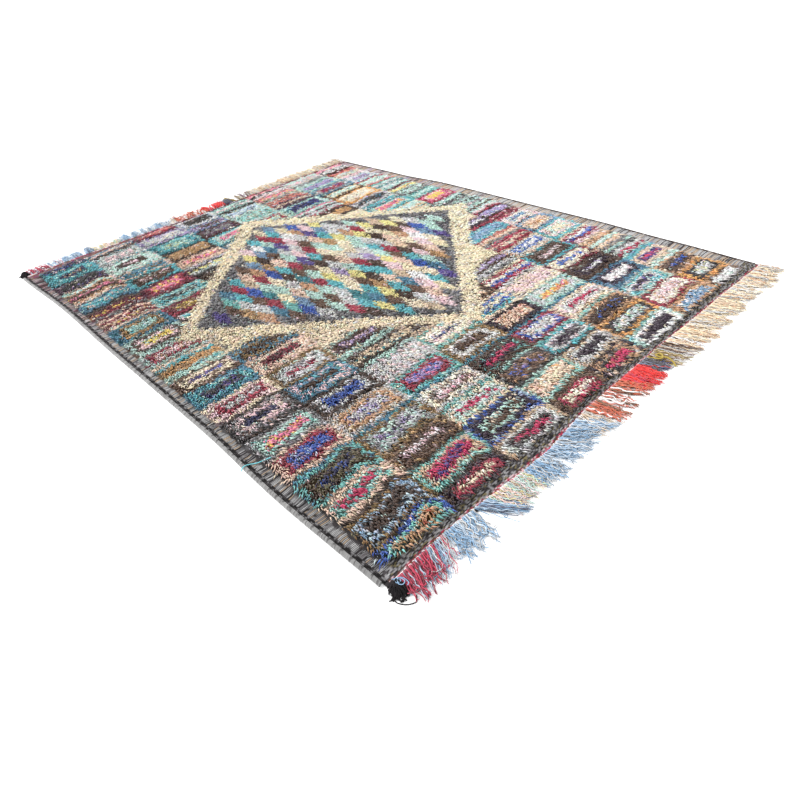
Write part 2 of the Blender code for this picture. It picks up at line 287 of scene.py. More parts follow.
@dataclass(frozen=True)
class EdgeTable:
    """An edge of the rug: its distance from the middle at shares of the way along it."""

    span: float
    shares: tuple[float, ...]
    reaches: tuple[float, ...]

    def reach(self, along: Array) -> Array:
        """The edge's distance from the middle line.

        Formula in words: from each row of the table to the next the distance eases over half
        a cosine wave.

        Args:
            along: Places along the edge, from the middle of the rug.

        Returns:
            The distance at each place.
        """
        share = np.clip(np.asarray(along, float) / self.span + 0.5, 0, 1)
        shares, reaches = np.array(self.shares), np.array(self.reaches)
        low = np.clip(np.searchsorted(shares, share, side="right") - 1, 0, len(shares) - 2)
        way = (share - shares[low]) / (shares[low + 1] - shares[low])
        ease = (1 - np.cos(np.pi * way)) / 2
        return reaches[low] + (reaches[low + 1] - reaches[low]) * ease


@dataclass(frozen=True)
class RugOutline:
    """The outline of the cloth, the same as in the CAD."""

    corded_side: EdgeTable = EdgeTable(
        2.21, (0.0, 0.15, 0.34, 0.58, 0.80, 1.0), (0.888, 0.892, 0.880, 0.879, 0.873, 0.885)
    )
    plain_side: EdgeTable = EdgeTable(
        2.21, (0.0, 0.14, 0.30, 0.66, 0.80, 1.0), (0.859, 0.872, 0.886, 0.892, 0.868, 0.859)
    )
    near_end: EdgeTable = EdgeTable(
        1.784,
        (0.0, 0.10, 0.29, 0.42, 0.58, 0.78, 1.0),
        (1.108, 1.100, 1.114, 1.097, 1.097, 1.104, 1.112),
    )
    far_end: EdgeTable = EdgeTable(
        1.784,
        (0.0, 0.15, 0.30, 0.50, 0.66, 0.82, 1.0),
        (1.104, 1.112, 1.106, 1.094, 1.100, 1.096, 1.104),
    )
    cord_width: float = 0.0122
    left_rim: Pair = (-0.839, 0.006)
    right_rim: Pair = (0.810, -0.024)
    pile_near: float = -1.092
    pile_far: float = 1.072
    strip_end: Pair = (-0.866, 0.855)
    fringe_tip: float = 1.200

    def pile_left(self, y: Array) -> Array:
        """The pile's rim beside the wrapped cord: a slanting line."""
        return self.left_rim[0] + self.left_rim[1] * y

    def pile_right(self, y: Array) -> Array:
        """The pile's rim on the plain side: a flat bow."""
        return self.right_rim[0] + self.right_rim[1] * y**2

    def corded_x(self, y: Array) -> Array:
        """The outer side of the wrapped cord."""
        return -self.corded_side.reach(y)

    def cloth_left(self, y: Array) -> Array:
        """The cloth's edge beside the wrapped cord."""
        return self.corded_x(y) + self.cord_width

    def cloth_right(self, y: Array) -> Array:
        """The cloth's plain side edge."""
        return self.plain_side.reach(y)

    def cloth_end(self, x: Array, end: End) -> Array:
        """The cloth's edge at one end."""
        table = self.near_end if end is End.NEAR else self.far_end
        return end.value * table.reach(x)


class Layout(Enum):
    """How the colours of a box are laid out."""

    RINGS = "rings"
    BAR = "bar"
    STRIPES = "stripes"


@dataclass(frozen=True)
class BoxRecipe:
    """The colours of one oblong box of pile, from its outline in to its core.

    bar_core is half the width of a bar, and ring_cores the core's share of the box's half
    length when it has no zone, one, two, or three and more zones round it.
    """

    layout: Layout
    zones: tuple[tuple[Yarn, ...], ...]
    bar_core: float = 0.0070
    ring_cores: tuple[float, ...] = (0.60, 0.60, 0.38, 0.24)

    @staticmethod
    def read(words: str) -> "BoxRecipe":
        """Reads a recipe such as 'royal+white / jade / tan' or 'bar: beige / grey / pink'.

        Args:
            words: Zones from the outline inwards with slashes between them. 'bar:' before them
                makes the core a thin bar, and 'stripes:' makes the zones bands across the box.

        Returns:
            The recipe.
        """
        kind, colon, rest = words.partition(":")
        layout = Layout(kind) if colon else Layout.RINGS
        zones = (rest if colon else kind).split("/")
        return BoxRecipe(layout, tuple(tuple(yarns(zone)) for zone in zones))

    def depths(self, half: float) -> list[float]:
        """How deep into the box each zone ends, in metres, but for the core."""
        outer = len(self.zones) - 1
        if outer == 0:
            return []
        if self.layout is Layout.STRIPES:
            return [2 * half * (k + 1) / (outer + 1) for k in range(outer)]
        ring_core = half * self.ring_cores[min(outer, len(self.ring_cores) - 1)]
        core = self.bar_core if self.layout is Layout.BAR else ring_core
        return [(half - core) * (k + 1) / outer for k in range(outer)]


# The columns of boxes from the corded side to the plain side: the recipe of each box by the
# place of its near edge along the rug.
BOX_COLUMNS = (
    {
        -1.096: "royal+royal+pale_blue / jade+mint / tan+ochre+rust",
        -1.020: "ochre+umber+olive / pale_blue+sky+umber / umber+charcoal+black / umber+black",
        -0.926: "umber+black",
        -0.912: "peach+beige / peach+beige / jade+mint / hot_pink+crimson",
        -0.838: "jade+petrol / umber+olive / olive+umber / navy+royal",
        -0.734: "petrol+turquoise",
        -0.722: "peach+beige / crimson+wine / royal+lilac+pale_blue",
        -0.626: "grey+silver / mint+jade / pink+orange+yellow",
        -0.524: "charcoal+umber / grey+blush+brown / blush+ivory+brown / navy+black",
        -0.405: "cream+blush / blush+cream / crimson+wine / silver+crimson+grey",
        -0.308: "petrol+turquoise / turquoise+mint+petrol / charcoal+violet+slate",
        -0.206: "bar: brown+blush / cream+umber / cream+brown / violet+royal",
        -0.116: "stripes: mint+cream / mint+turquoise / camel+orange / camel+orange / turquoise+teal / "
        "peach+cream",
        0.000: "mint+silver / crimson+wine / blush+tan+mint",
        0.100: "mint+grey / umber+brown / blush+mint / yellow+lemon+mint",
        0.216: "petrol+teal / ochre+camel+orange / mint+turquoise",
        0.345: "stripes: peach+mint / wine+crimson / peach+tan+yellow / wine+crimson / peach+tan / "
        "wine+grey",
        0.452: "stripes: grey+umber+peach / wine+crimson / wine+yellow+orange / wine+umber / "
        "umber+black / umber+black",
        0.557: "petrol+sky+turquoise / turquoise+peach+sky",
        0.634: "stripes: peach+mint / tan+ochre+peach / umber+wine / pink+umber+yellow / brown+ochre",
        0.737: "stripes: tan+peach / mint+jade / peach+mint",
        0.786: "plum+grey+aubergine / charcoal+violet+grey / charcoal+black",
        0.879: "bar: turquoise+teal / turquoise+mint / navy+teal / tan+camel",
        1.006: "teal+navy+blush / navy+royal+umber",
    },
    {
        -1.093: "bar: umber+aubergine+black / aubergine+umber / crimson+wine / cream+beige",
        -1.004: "jade+mint / beige+tan+mint / hot_pink+crimson / violet+hot_pink+crimson",
        -0.920: "umber+black",
        -0.910: "bar: brown+camel+tan / brown+umber+camel / umber+brown / blush+white",
        -0.832: "bar: ochre+beige+olive / grey+mint+umber / silver+mint+lilac / aubergine+lilac+violet",
        -0.734: "petrol+turquoise",
        -0.720: "silver+beige+grey / tan+camel+beige / silver+lilac+royal",
        -0.612: "umber+black / silver+umber / royal+navy",
        -0.506: "petrol+turquoise / blush+petrol / petrol+turquoise / umber+brown",
        -0.416: "bar: ochre+beige+olive / silver+grey+mint / silver+white / crimson+hot_pink",
        -0.311: "peach+beige+blush / peach+mint / wine+crimson+charcoal",
        -0.206: "petrol+brown / ochre+petrol+umber / umber+ochre+petrol",
        -0.112: "straw+grey / peach+straw",
        0.070: "mint+cream / straw+mint",
        0.180: "umber+charcoal+mint / blush+mint / turquoise+mint",
        0.244: "crimson+wine / wine+ochre / ochre+yellow+peach",
        0.345: "mint+turquoise+camel / turquoise+mint / charcoal+mint+grey",
        0.447: "wine+plum / crimson+wine / pink+yellow+orange",
        0.563: "turquoise+teal / umber+brown / brown+blush+umber",
        0.671: "peach+turquoise+petrol / petrol+teal / petrol+ochre+turquoise",
        0.755: "bar: mint+blush+white / mint+white / umber+charcoal / blush+plum+umber",
        0.888: "silver+turquoise+grey / silver+mint+grey / blush+silver+mint",
        0.998: "stripes: umber+petrol+charcoal / peach+blush+sky / petrol+sky+beige / silver+petrol+peach",
    },
    {
        -1.090: "bar: beige+tan+cream / silver+white / charcoal+grey / hot_pink+crimson",
        -1.000: "royal+pale_blue+aubergine / aubergine+navy / aubergine+navy / mint+cream / umber+brown",
        -0.908: "bar: cream+beige+peach / mint+silver+cream / silver+mint / hot_pink+mint+crimson",
        -0.830: "jade+mint+peach",
        -0.814: "silver+peach+cream / ivory+silver / brown+grey+beige / blush+white+pink",
        -0.732: "petrol+turquoise+mint",
        -0.722: "jade+turquoise+mint / crimson+wine / lilac+royal+pink",
        -0.618: "silver+blush+beige / silver+blush+ivory",
        -0.520: "stripes: mint+grey / umber+charcoal / cream+teal+umber / beige+grey / umber+grey / "
        "mint+silver",
        -0.420: "mint+cream / umber+plum+brown / umber+brown / lilac+blush",
        -0.330: "cream+peach+beige",
        -0.255: "straw+cream",
        0.395: "umber+charcoal / umber+brown",
        0.470: "stripes: charcoal+grey / silver+mint+charcoal / lemon+charcoal+mint / "
        "charcoal+lilac+grey / silver+blush",
        0.575: "peach+beige / peach+wine / pink+orange+yellow",
        0.668: "bar: umber+black / camel+tan / camel+ochre / camel+tan",
        0.774: "teal+turquoise+silver / turquoise+mint+jade / mint+jade+lemon",
        0.904: "lilac+silver+violet / silver+lilac+mint / silver+cream+lilac",
        1.000: "plum+wine / crimson+plum / salmon+pink+crimson",
    },
    {
        -1.090: "brown+umber+camel / brown+umber / crimson+hot_pink / ivory+crimson+blush",
        -1.000: "mint+jade / peach+tan+orange / cream+peach+tan",
        -0.912: "charcoal+grey+umber / brown+tan+charcoal / brown+royal+lilac",
        -0.828: "mint+jade+peach",
        -0.816: "umber+brown / umber+jade / aubergine+charcoal / hot_pink+crimson",
        -0.732: "petrol+turquoise",
        -0.720: "ochre+beige+olive / silver+white / umber+brown+ochre",
        -0.612: "bar: jade+mint+peach / ivory+blush / ivory+blush / navy+royal",
        -0.520: "beige+grey / umber+grey",
        -0.400: "straw+cream",
        0.575: "petrol+umber / silver+petrol+peach",
        0.655: "turquoise+mint / mint+silver+turquoise / pink+mint+peach",
        0.768: "umber+wine+brown / plum+grey+brown / grey+violet+plum",
        0.876: "sky+grey+teal / lilac+plum+silver / brown+sky+lilac",
        0.954: "silver+sky+white / charcoal+umber",
    },
    {
        -1.090: "aubergine+umber / tan+beige+umber / charcoal+tan+grey / hot_pink+crimson",
        -0.997: "beige+silver+tan / silver+charcoal+white / aubergine+charcoal",
        -0.914: "umber+charcoal",
        -0.904: "turquoise+teal / silver+blush / aubergine+grey",
        -0.830: "jade+mint+umber",
        -0.820: "crimson+wine / royal+lilac+silver / silver+blush+mint / silver+beige+blush",
        -0.732: "petrol+turquoise+silver",
        -0.720: "aubergine+black / peach+tan+salmon",
        -0.627: "stripes: cream+peach / turquoise+ochre / royal+sky+cream / cream+ivory / "
        "royal+turquoise / cream+peach",
        -0.528: "umber+tan / peach+cream",
        -0.400: "straw+cream",
        0.650: "mint+cream / crimson+plum / mint+peach+lemon",
        0.762: "mint+silver+turquoise / jade+olive+mint / mint+ochre+sky",
        0.873: "mint+cream+pale_blue / pale_blue+white+mint",
        0.963: "stripes: charcoal+umber+jade / mint+jade+blush / blush+mint+silver / mint+grey+teal / "
        "teal+jade",
    },
    {
        -1.090: "mint+turquoise / white+cream / aubergine+aubergine",
        -0.997: "orange+camel / charcoal+aubergine / silver+mint+lemon",
        -0.912: "tan+brown+peach / umber+charcoal / umber+royal+umber",
        -0.836: "mint+jade+peach",
        -0.824: "bar: peach+cream+tan / ivory+blush+silver / silver+white+grey / hot_pink+crimson",
        -0.733: "petrol+sky+turquoise",
        -0.720: "mint+turquoise / silver+mint / mint+silver / orange+pink+yellow",
        -0.627: "cream+blush+silver / blush+beige+ivory",
        -0.528: "stripes: silver+charcoal+cream / crimson+pink / royal+blush / ivory+white / "
        "crimson+wine / cream+ivory",
        -0.438: "stripes: grey+silver / silver+charcoal / umber+brown / lilac+silver / umber+brown / straw",
        -0.330: "straw+cream",
        0.460: "umber+charcoal / camel+orange+brown",
        0.550: "stripes: umber+crimson / crimson+mint / silver+mint / charcoal+silver+pink / "
        "mint+silver / pink+salmon",
        0.662: "mint+turquoise+silver / navy+violet+royal",
        0.780: "stripes: plum+charcoal+grey / beige+plum+silver / plum+crimson+grey / "
        "salmon+plum+silver / salmon+mint+beige",
        0.885: "stripes: salmon+beige+grey / grey+mint+olive / beige+olive+mint / pink+orange+lemon / "
        "salmon+peach+crimson",
        0.985: "stripes: blush+peach / white+charcoal+lilac / charcoal+silver / pink+peach+umber / "
        "salmon+mint",
    },
    {
        -1.090: "tan+brown+beige / tan+beige+camel / sky+white+petrol",
        -1.006: "crimson+wine / ivory+cream / blush+tan+silver",
        -0.916: "mint+silver+tan / turquoise+mint / silver+blush / aubergine+violet",
        -0.829: "petrol+sky / aubergine+navy / white+blush",
        -0.724: "bar: umber+brown / umber+aubergine / aubergine+umber / white+lilac+silver",
        -0.627: "bar: wine+crimson / ivory+cream / cream+blush / royal+sky",
        -0.543: "turquoise+teal / umber+brown / umber+brown / blush+umber+silver",
        -0.438: "peach+tan+mint / silver+ivory / royal+sky / white+royal+mint",
        -0.339: "stripes: crimson+wine / peach+grey / crimson+hot_pink / grey+charcoal+peach / "
        "peach+tan / salmon+crimson",
        -0.221: "turquoise+mint+petrol / sky+pale_blue+turquoise",
        -0.137: "stripes: crimson+wine / aubergine+umber / white+lilac / charcoal+lilac / peach+silver",
        -0.030: "straw+cream",
        0.180: "umber+brown+turquoise / beige+mint",
        0.250: "cream+camel / mint+cream / mint+white+pale_blue",
        0.325: "turquoise+teal / mint+peach / pink+orange+yellow",
        0.420: "silver+grey+blush / turquoise+teal+white",
        0.464: "silver+white+lilac / grey+charcoal / charcoal+petrol+umber",
        0.544: "orange+camel+peach / cream+peach / ivory+cream+peach",
        0.662: "umber+brown+camel / cream+orange+mint / mint+white",
        0.746: "petrol+grey+mint / grey+petrol+silver / crimson+violet+salmon",
        0.848: "mint+turquoise+cream / lilac+sky+violet",
        0.941: "stripes: mint+silver / grey+mint+teal / silver+beige / blush+silver+pink / "
        "mint+silver+grey / mint+blush",
    },
    {
        -1.098: "brown+tan+grey / silver+white+mint",
        -1.030: "orange+camel / charcoal+aubergine / silver+lemon+mint",
        -0.930: "bar: tan+peach / umber+tan / umber+brown / royal+umber",
        -0.858: "mint+white",
        -0.830: "bar: peach+cream / peach+beige / violet+aubergine / hot_pink+crimson",
        -0.752: "stripes: turquoise+sky / mint+charcoal / crimson+hot_pink+silver / silver+mint / "
        "charcoal+grey / mint+jade",
        -0.652: "stripes: grey+beige / peach+tan / mint+silver / tan+beige+charcoal / beige+peach",
        -0.535: "stripes: blush+charcoal / crimson+wine / royal+white / white+cream / crimson+wine / "
        "cream+ivory",
        -0.450: "turquoise+mint / blush+cream / mint+beige+silver / cream+white",
        -0.332: "bar: sky+petrol / peach+beige+silver / peach+beige / tan+orange+peach",
        -0.240: "blush+peach / ivory+silver / sky+lilac+ivory",
        -0.146: "crimson+pink+blush / wine+crimson+peach",
        -0.100: "umber+charcoal / lilac+white / lilac+sky+white",
        -0.036: "stripes: crimson+wine / blush+mint / mint+silver / umber+brown / mint+beige / mint+grey",
        0.064: "stripes: grey+blush+mint / mint+turquoise / charcoal+mint+silver / mint+silver",
        0.139: "stripes: grey+mint / charcoal+aubergine+mint / mint+teal+silver / mint+blush",
        0.219: "crimson+pink+wine / pink+peach+cream / yellow+orange+pink",
        0.331: "jade+teal / mint+jade+silver",
        0.393: "grey+mint+charcoal / mint+silver+umber",
        0.470: "mint+peach / lemon+orange+peach",
        0.522: "stripes: wine+crimson+mint / mint+teal / mint+white / silver+mint",
        0.582: "stripes: teal+mint / silver+grey / mint+silver / jade+mint",
        0.644: "stripes: salmon+pink / mint+blush / mint+ivory / mint+peach / crimson+pink",
        0.743: "white+turquoise+pale_blue / silver+sky+mint / lilac+grey+silver",
        0.842: "stripes: blush+salmon / beige+mint+grey / silver+beige+mint / salmon+crimson+orange / "
        "crimson+orange+pink",
        0.966: "stripes: umber+wine / white+charcoal+blush / silver+charcoal / pink+peach+orange / "
        "blush+lemon",
    },
)


@dataclass(frozen=True)
class Diamonds:
    """The field of small diamonds in the lozenge.

    steps are the shares of the list of yarns that one row and one column move on by, and jump
    is the most that a draw adds. rich_share of the diamonds are from the rich list, less
    rich_fall for each metre to the right, within rich_limits.
    """

    width: float = 0.050
    length: float = 0.130
    rich: str = (
        "crimson+turquoise+umber+royal+petrol+crimson+camel+turquoise+brown+violet+jade+"
        "crimson+royal+teal+brown+sky+turquoise+tan"
    )
    pale: str = (
        "mint+peach+silver+cream+mint+blush+straw+silver+cream+mint+lemon+white+peach+silver+"
        "blush+cream+lilac+beige"
    )
    steps: Pair = (0.755, 0.570)
    jump: float = 1 / 9
    rich_share: float = 0.48
    rich_fall: float = 0.66
    rich_limits: Pair = (0.14, 0.85)

    def cell(self, x: Array, y: Array) -> tuple[Array, Array]:
        """Which diamond holds each place.

        Formula in words: two slanting axes, x over the width plus and minus y over the length,
        each rounded down to a whole number.
        """
        one = x / self.width + y / self.length
        other = x / self.width - y / self.length
        return np.floor(one), np.floor(other)

    def middle(self, one: Array, other: Array) -> tuple[Array, Array]:
        """The middle of a diamond that cell() names."""
        return (one + other + 1) / 2 * self.width, (one - other) / 2 * self.length


class BoxPlace(NamedTuple):
    """Where places lie in the boxes of the pile."""

    box: Array
    share: Array
    beside: Array
    up: Array
    down: Array


@dataclass
class PilePattern:
    """Which yarn is knotted where in the pile.

    The lines between the boxes of a column bend by its kink, times kink_rises at kink_places
    across it, and straighten within settle of the near rim. sway and wander are how far the
    columns and the lines stray. lozenge and half_size give the middle and the half diagonals of
    the pale band, field_middle and field_half those of the diamonds, and the dark outline
    round these is up to outline_run wide. The frays roughen the edges.
    """

    outline: RugOutline
    widths: tuple[float, ...] = (0.203, 0.210, 0.213, 0.196, 0.196, 0.229, 0.219, 0.172)
    kinks: tuple[float, ...] = (0.031, 0.008, 0.004, 0.007, 0.004, 0.007, 0.009, 0.004)
    kink_reach: float = 0.80
    kink_places: tuple[float, ...] = (0.0, 0.45, 0.78, 0.88, 1.0)
    kink_rises: tuple[float, ...] = (-0.3, -0.15, 0.7, 0.05, -0.3)
    settle: float = 0.06
    sway: float = 0.003
    wander: float = 0.0030
    lozenge: Pair = (0.000, 0.080)
    half_size: Pair = (0.715, 0.705)
    field_middle: Pair = (-0.005, 0.096)
    field_half: Pair = (0.576, 0.592)
    field_reach: float = 0.97
    outline_run: float = 0.048
    run_start: float = 0.52
    run_length: float = 0.20
    band_words: str = (
        "straw+straw+straw+cream+straw+cream+straw+ivory+straw+cream+straw+beige+straw+silver+cream"
    )
    outline_words: str = "grey+charcoal+grey+slate+grey+charcoal+grey+charcoal+grey"
    stray_words: str = "silver+charcoal+blush+mint+umber+ivory"
    step: float = 0.018
    step_fray: float = 0.12
    band_fray: float = 0.003
    field_fray: Pair = (0.0018, 0.0040)
    blend: float = 0.0010
    serration: float = 0.0026
    stray_share: float = 0.016
    most_zones: int = 6
    diamonds: Diamonds = field(default_factory=Diamonds)
    seed: int = 23

    def __post_init__(self) -> None:
        """Reads the columns of boxes into arrays of lines, colours and depths."""
        self.edges = np.concatenate([[0], np.cumsum(self.widths)])
        self.lines = [np.array([*boxes, self.outline.pile_far]) for boxes in BOX_COLUMNS]
        self.first = np.cumsum([0] + [len(boxes) for boxes in BOX_COLUMNS])
        count = self.first[-1]
        self.zone_colours = np.zeros((count, self.most_zones, 3, 3))
        self.zone_ends = np.full((count, self.most_zones - 1), 1.0)
        self.striped = np.zeros(count, bool)
        pitches = np.concatenate([np.diff(lines) for lines in self.lines])
        for box, words in enumerate(words for boxes in BOX_COLUMNS for words in boxes.values()):
            recipe = BoxRecipe.read(words)
            for zone in range(self.most_zones):
                mixture = recipe.zones[min(zone, len(recipe.zones) - 1)]
                for part in range(3):
                    self.zone_colours[box, zone, part] = mixture[part % len(mixture)].linear
            ends = recipe.depths(pitches[box] / 2)
            self.zone_ends[box, : len(ends)] = ends
            self.striped[box] = recipe.layout is Layout.STRIPES

    def box_place(self, x: Array, y: Array) -> BoxPlace:
        """The box at each place, and how far the place lies from the box's edges.

        Formula in words: the columns share out the width between the pile's rims. The lines
        between boxes rise towards the far side of each column, drop back steeply near its edge,
        and wander slowly everywhere.
        """
        left, right = self.outline.pile_left(y), self.outline.pile_right(y)
        place = (x - left) / (right - left) * self.edges[-1]
        place = place + self.sway * ripple(x, y, 0.30, self.seed + 1)
        column = np.searchsorted(self.edges[1:-1], place)
        width = np.array(self.widths)[column]
        share = np.clip((place - self.edges[column]) / width, 0, 1)
        rise = np.interp(share, self.kink_places, self.kink_rises)
        fade = np.clip(np.abs(y + 0.1) / self.kink_reach, 0.15, 1.0)
        kink = np.array(self.kinks)[column] * rise * fade
        slow = self.wander * (ripple(x, y, 0.16, self.seed + 2) + ripple(x, y, 0.05, self.seed + 3) / 2)
        level = y - (kink + slow) * np.clip((y - self.outline.pile_near) / self.settle, 0, 1)
        box, up, down = np.zeros(x.shape, int), np.zeros(x.shape), np.zeros(x.shape)
        for k, lines in enumerate(self.lines):
            here = column == k
            inside = np.clip(level[here], lines[0], lines[-1] - 1e-6)
            row = np.searchsorted(lines, inside, side="right") - 1
            box[here] = self.first[k] + row
            up[here] = inside - lines[row]
            down[here] = lines[row + 1] - inside
        return BoxPlace(box, share, np.minimum(share, 1 - share) * width, up, down)

    def lozenge_share(self, x: Array, y: Array) -> Array:
        """0 in the middle of the lozenge and 1 on its outline."""
        return (
            np.abs(x - self.lozenge[0]) / self.half_size[0]
            + np.abs(y - self.lozenge[1]) / self.half_size[1]
        )

    def in_field(self, x: Array, y: Array) -> Array:
        """Whether a place lies in one of the lozenge's whole diamonds."""
        one, other = self.diamonds.cell(x - self.field_middle[0], y - self.field_middle[1])
        mid_x, mid_y = self.diamonds.middle(one, other)
        share = np.abs(mid_x) / self.field_half[0] + np.abs(mid_y) / self.field_half[1]
        return share < self.field_reach

    def mixed(self, mixture: str, x: Array, y: Array, seed: int) -> Array:
        """Picks a yarn for each place from a mixture, in clumps about a centimetre across."""
        choice = mixture_colours(mixture)
        rng = np.random.default_rng(seed)
        lean = 0.25 * ripple(x, y, 0.020, seed) + rng.uniform(0, 1, x.shape)
        return choice[(lean * len(choice)).astype(int) % len(choice)]

    def diamond_colours(self, x: Array, y: Array) -> Array:
        """The colour of the diamond at each place.

        Formula in words: each diamond takes a place in a list of yarns by whole steps of its
        row and column plus a seeded draw, so that neighbours differ. A second draw settles
        whether the list is the rich or the pale one, and the pale one wins more often to the
        right.

        Args:
            x: Places across the rug.
            y: Places along the rug.

        Returns:
            Red, green and blue, one row for each place.
        """
        kind = self.diamonds
        one, other = kind.cell(x - self.field_middle[0], y - self.field_middle[1])
        mid_x, _ = kind.middle(one, other)
        span = 64
        table = np.random.default_rng(self.seed + 5).uniform(0, 1, (span, span, 2))
        draw = table[one.astype(int) % span, other.astype(int) % span]
        rich, pale = mixture_colours(kind.rich), mixture_colours(kind.pale)
        spot = (one * kind.steps[0] + other * kind.steps[1] + draw[..., 0] * kind.jump) % 1
        pick = (spot * len(rich)).astype(int)
        is_rich = draw[..., 1] < np.clip(kind.rich_share - mid_x * kind.rich_fall, *kind.rich_limits)
        return np.where(is_rich[:, None], rich[pick], pale[pick % len(pale)])

    def box_colours(self, x: Array, y: Array, rng: np.random.Generator) -> Array:
        """The colour of the box's zone at each place."""
        place = self.box_place(x, y)
        depth = np.minimum(np.minimum(place.up, place.down), place.beside * 0.85)
        depth = np.where(self.striped[place.box], place.up, depth)
        depth = depth + rng.normal(0, self.blend, x.shape)
        depth = depth + self.serration * ripple(x, 0.5 * y, 0.011, self.seed + 11)
        zone = (depth[:, None] > self.zone_ends[place.box]).sum(axis=1)
        clump = ripple(0.55 * x, y, 0.016, self.seed + 6)
        lean = 0.30 * clump + 0.20 * rng.normal(0, 1, x.shape)
        part = (lean > 0.20).astype(int) + (lean > 0.48)
        return self.zone_colours[place.box, zone, part]

    def colours(self, x: Array, y: Array) -> Array:
        """The yarn's linear colour at each place in the pile.

        Args:
            x: Places across the rug.
            y: Places along the rug.

        Returns:
            Red, green and blue, one row for each place.
        """
        rng = np.random.default_rng(self.seed + 7)
        stepped = self.step * np.floor(y / self.step + rng.normal(0, self.step_fray, y.shape))
        edge = self.lozenge_share(x + rng.normal(0, self.band_fray, x.shape), stepped)
        frayed_x = x + rng.normal(0, self.field_fray[0], x.shape)
        frayed_y = y + rng.normal(0, self.field_fray[1], y.shape)
        result = self.box_colours(x, y, rng)
        band = self.mixed(self.band_words, x, y, self.seed + 8)
        result = np.where((edge < 1)[:, None], band, result)
        run = self.outline_run * np.clip((self.run_start - y) / self.run_length, 0, 1)
        (mid_x, mid_y), (half_x, half_y) = self.field_middle, self.field_half
        across = np.abs(frayed_x - mid_x) / (half_x + run)
        along = np.abs(stepped - mid_y) / (half_y + run)
        dark = self.mixed(self.outline_words, x, y, self.seed + 9)
        result = np.where((across + along < 1)[:, None], dark, result)
        inside = self.in_field(frayed_x, frayed_y)
        diamond = self.diamond_colours(frayed_x, frayed_y)
        result = np.where(inside[:, None], diamond, result)
        stray = rng.uniform(0, 1, x.shape) < self.stray_share * (1 + 3 * np.clip(y, 0, 1))
        odd = self.mixed(self.stray_words, x, y, self.seed + 10)
        return np.where(stray[:, None], odd, result)


@dataclass(frozen=True)
class PileRelief:
    """How high the pile's tips stand: groove and crown are heights, and shoulder a length."""

    pattern: PilePattern
    groove: float = 0.0140
    crown: float = 0.0065
    shoulder: float = 0.014
    end_pull: float = 1.3
    plateau: float = 0.0180
    unevenness: float = 0.0012
    seed: int = 31

    def height(self, x: Array, y: Array) -> Array:
        """The height of the pile's tips.

        Formula in words: a box rises from its grooves to its crown along one minus the
        exponential of the distance from the nearest groove, the lozenge is a plateau, and two
        slow fields lift and lower all of it.
        """
        place = self.pattern.box_place(x, y)
        depth = np.minimum(place.beside, self.end_pull * np.minimum(place.up, place.down))
        box = self.groove + self.crown * (1 - np.exp(-depth / self.shoulder))
        flat = self.pattern.lozenge_share(x, y) < 1
        slow = ripple(x, y, 0.42, self.seed) + 0.8 * ripple(x, y, 0.07, self.seed + 1)
        return np.where(flat, self.plateau, box) + self.unevenness * slow


@dataclass(frozen=True)
class Graph:
    """A shader tree that is built node by node."""

    tree: bpy.types.NodeTree

    @staticmethod
    def group(name: str, inputs: dict[str, str], outputs: dict[str, str]) -> "Graph":
        """Starts a node group with named sockets.

        Args:
            name: The group's name.
            inputs: Socket types by name.
            outputs: Socket types by name.

        Returns:
            The group's tree, with its input and output nodes.
        """
        tree = bpy.data.node_groups.new(name, "ShaderNodeTree")
        for way, sockets in (("INPUT", inputs), ("OUTPUT", outputs)):
            for socket, kind in sockets.items():
                tree.interface.new_socket(socket, in_out=way, socket_type=f"NodeSocket{kind}")
        tree.nodes.new("NodeGroupInput")
        tree.nodes.new("NodeGroupOutput")
        return Graph(tree)

    def feed(self, node: bpy.types.Node, given: dict[str | int, object]) -> None:
        """Links outputs of other nodes to a node's inputs, or sets the inputs to plain values."""
        for socket, value in given.items():
            if isinstance(value, bpy.types.NodeSocket):
                self.tree.links.new(value, node.inputs[socket])
            else:
                node.inputs[socket].default_value = value

    def add(self, kind: str, given: dict[str | int, object], **settings: object) -> bpy.types.Node:
        """Adds a node.

        Args:
            kind: The node's type, without the words ShaderNode before it.
            given: Outputs or plain values for its inputs, by name or number.
            settings: The node's own settings.

        Returns:
            The node.
        """
        node = self.tree.nodes.new(f"ShaderNode{kind}")
        for name, value in settings.items():
            setattr(node, name, value)
        self.feed(node, given)
        return node


def fibre_grain_group() -> bpy.types.NodeTree:
    """Fine fibres: light and dark hairs in the colour, and a height for the bump."""
    name = "fibre_grain"
    if name in bpy.data.node_groups:
        return bpy.data.node_groups[name]
    graph = Graph.group(
        name,
        {"Vector": "Vector", "Colour": "Color", "Scale": "Float", "Contrast": "Float"},
        {"Colour": "Color", "Height": "Float"},
    )
    given, result = (graph.tree.nodes[f"Group {way}"] for way in ("Input", "Output"))
    vector, colour, scale, contrast = list(given.outputs)[:4]
    noise = graph.add("TexNoise", {"Vector": vector, "Scale": scale, "Detail": 2.0})
    height = noise.outputs["Fac"]
    centred = graph.add("Math", {0: height, 1: 0.5}, operation="SUBTRACT")
    light = graph.add("Math", {0: centred.outputs[0], 1: contrast, 2: 1.0}, operation="MULTIPLY_ADD")
    tinted = graph.add("VectorMath", {0: colour, "Scale": light.outputs[0]}, operation="SCALE")
    graph.feed(result, {"Colour": tinted.outputs[0], "Height": height})
    return graph.tree


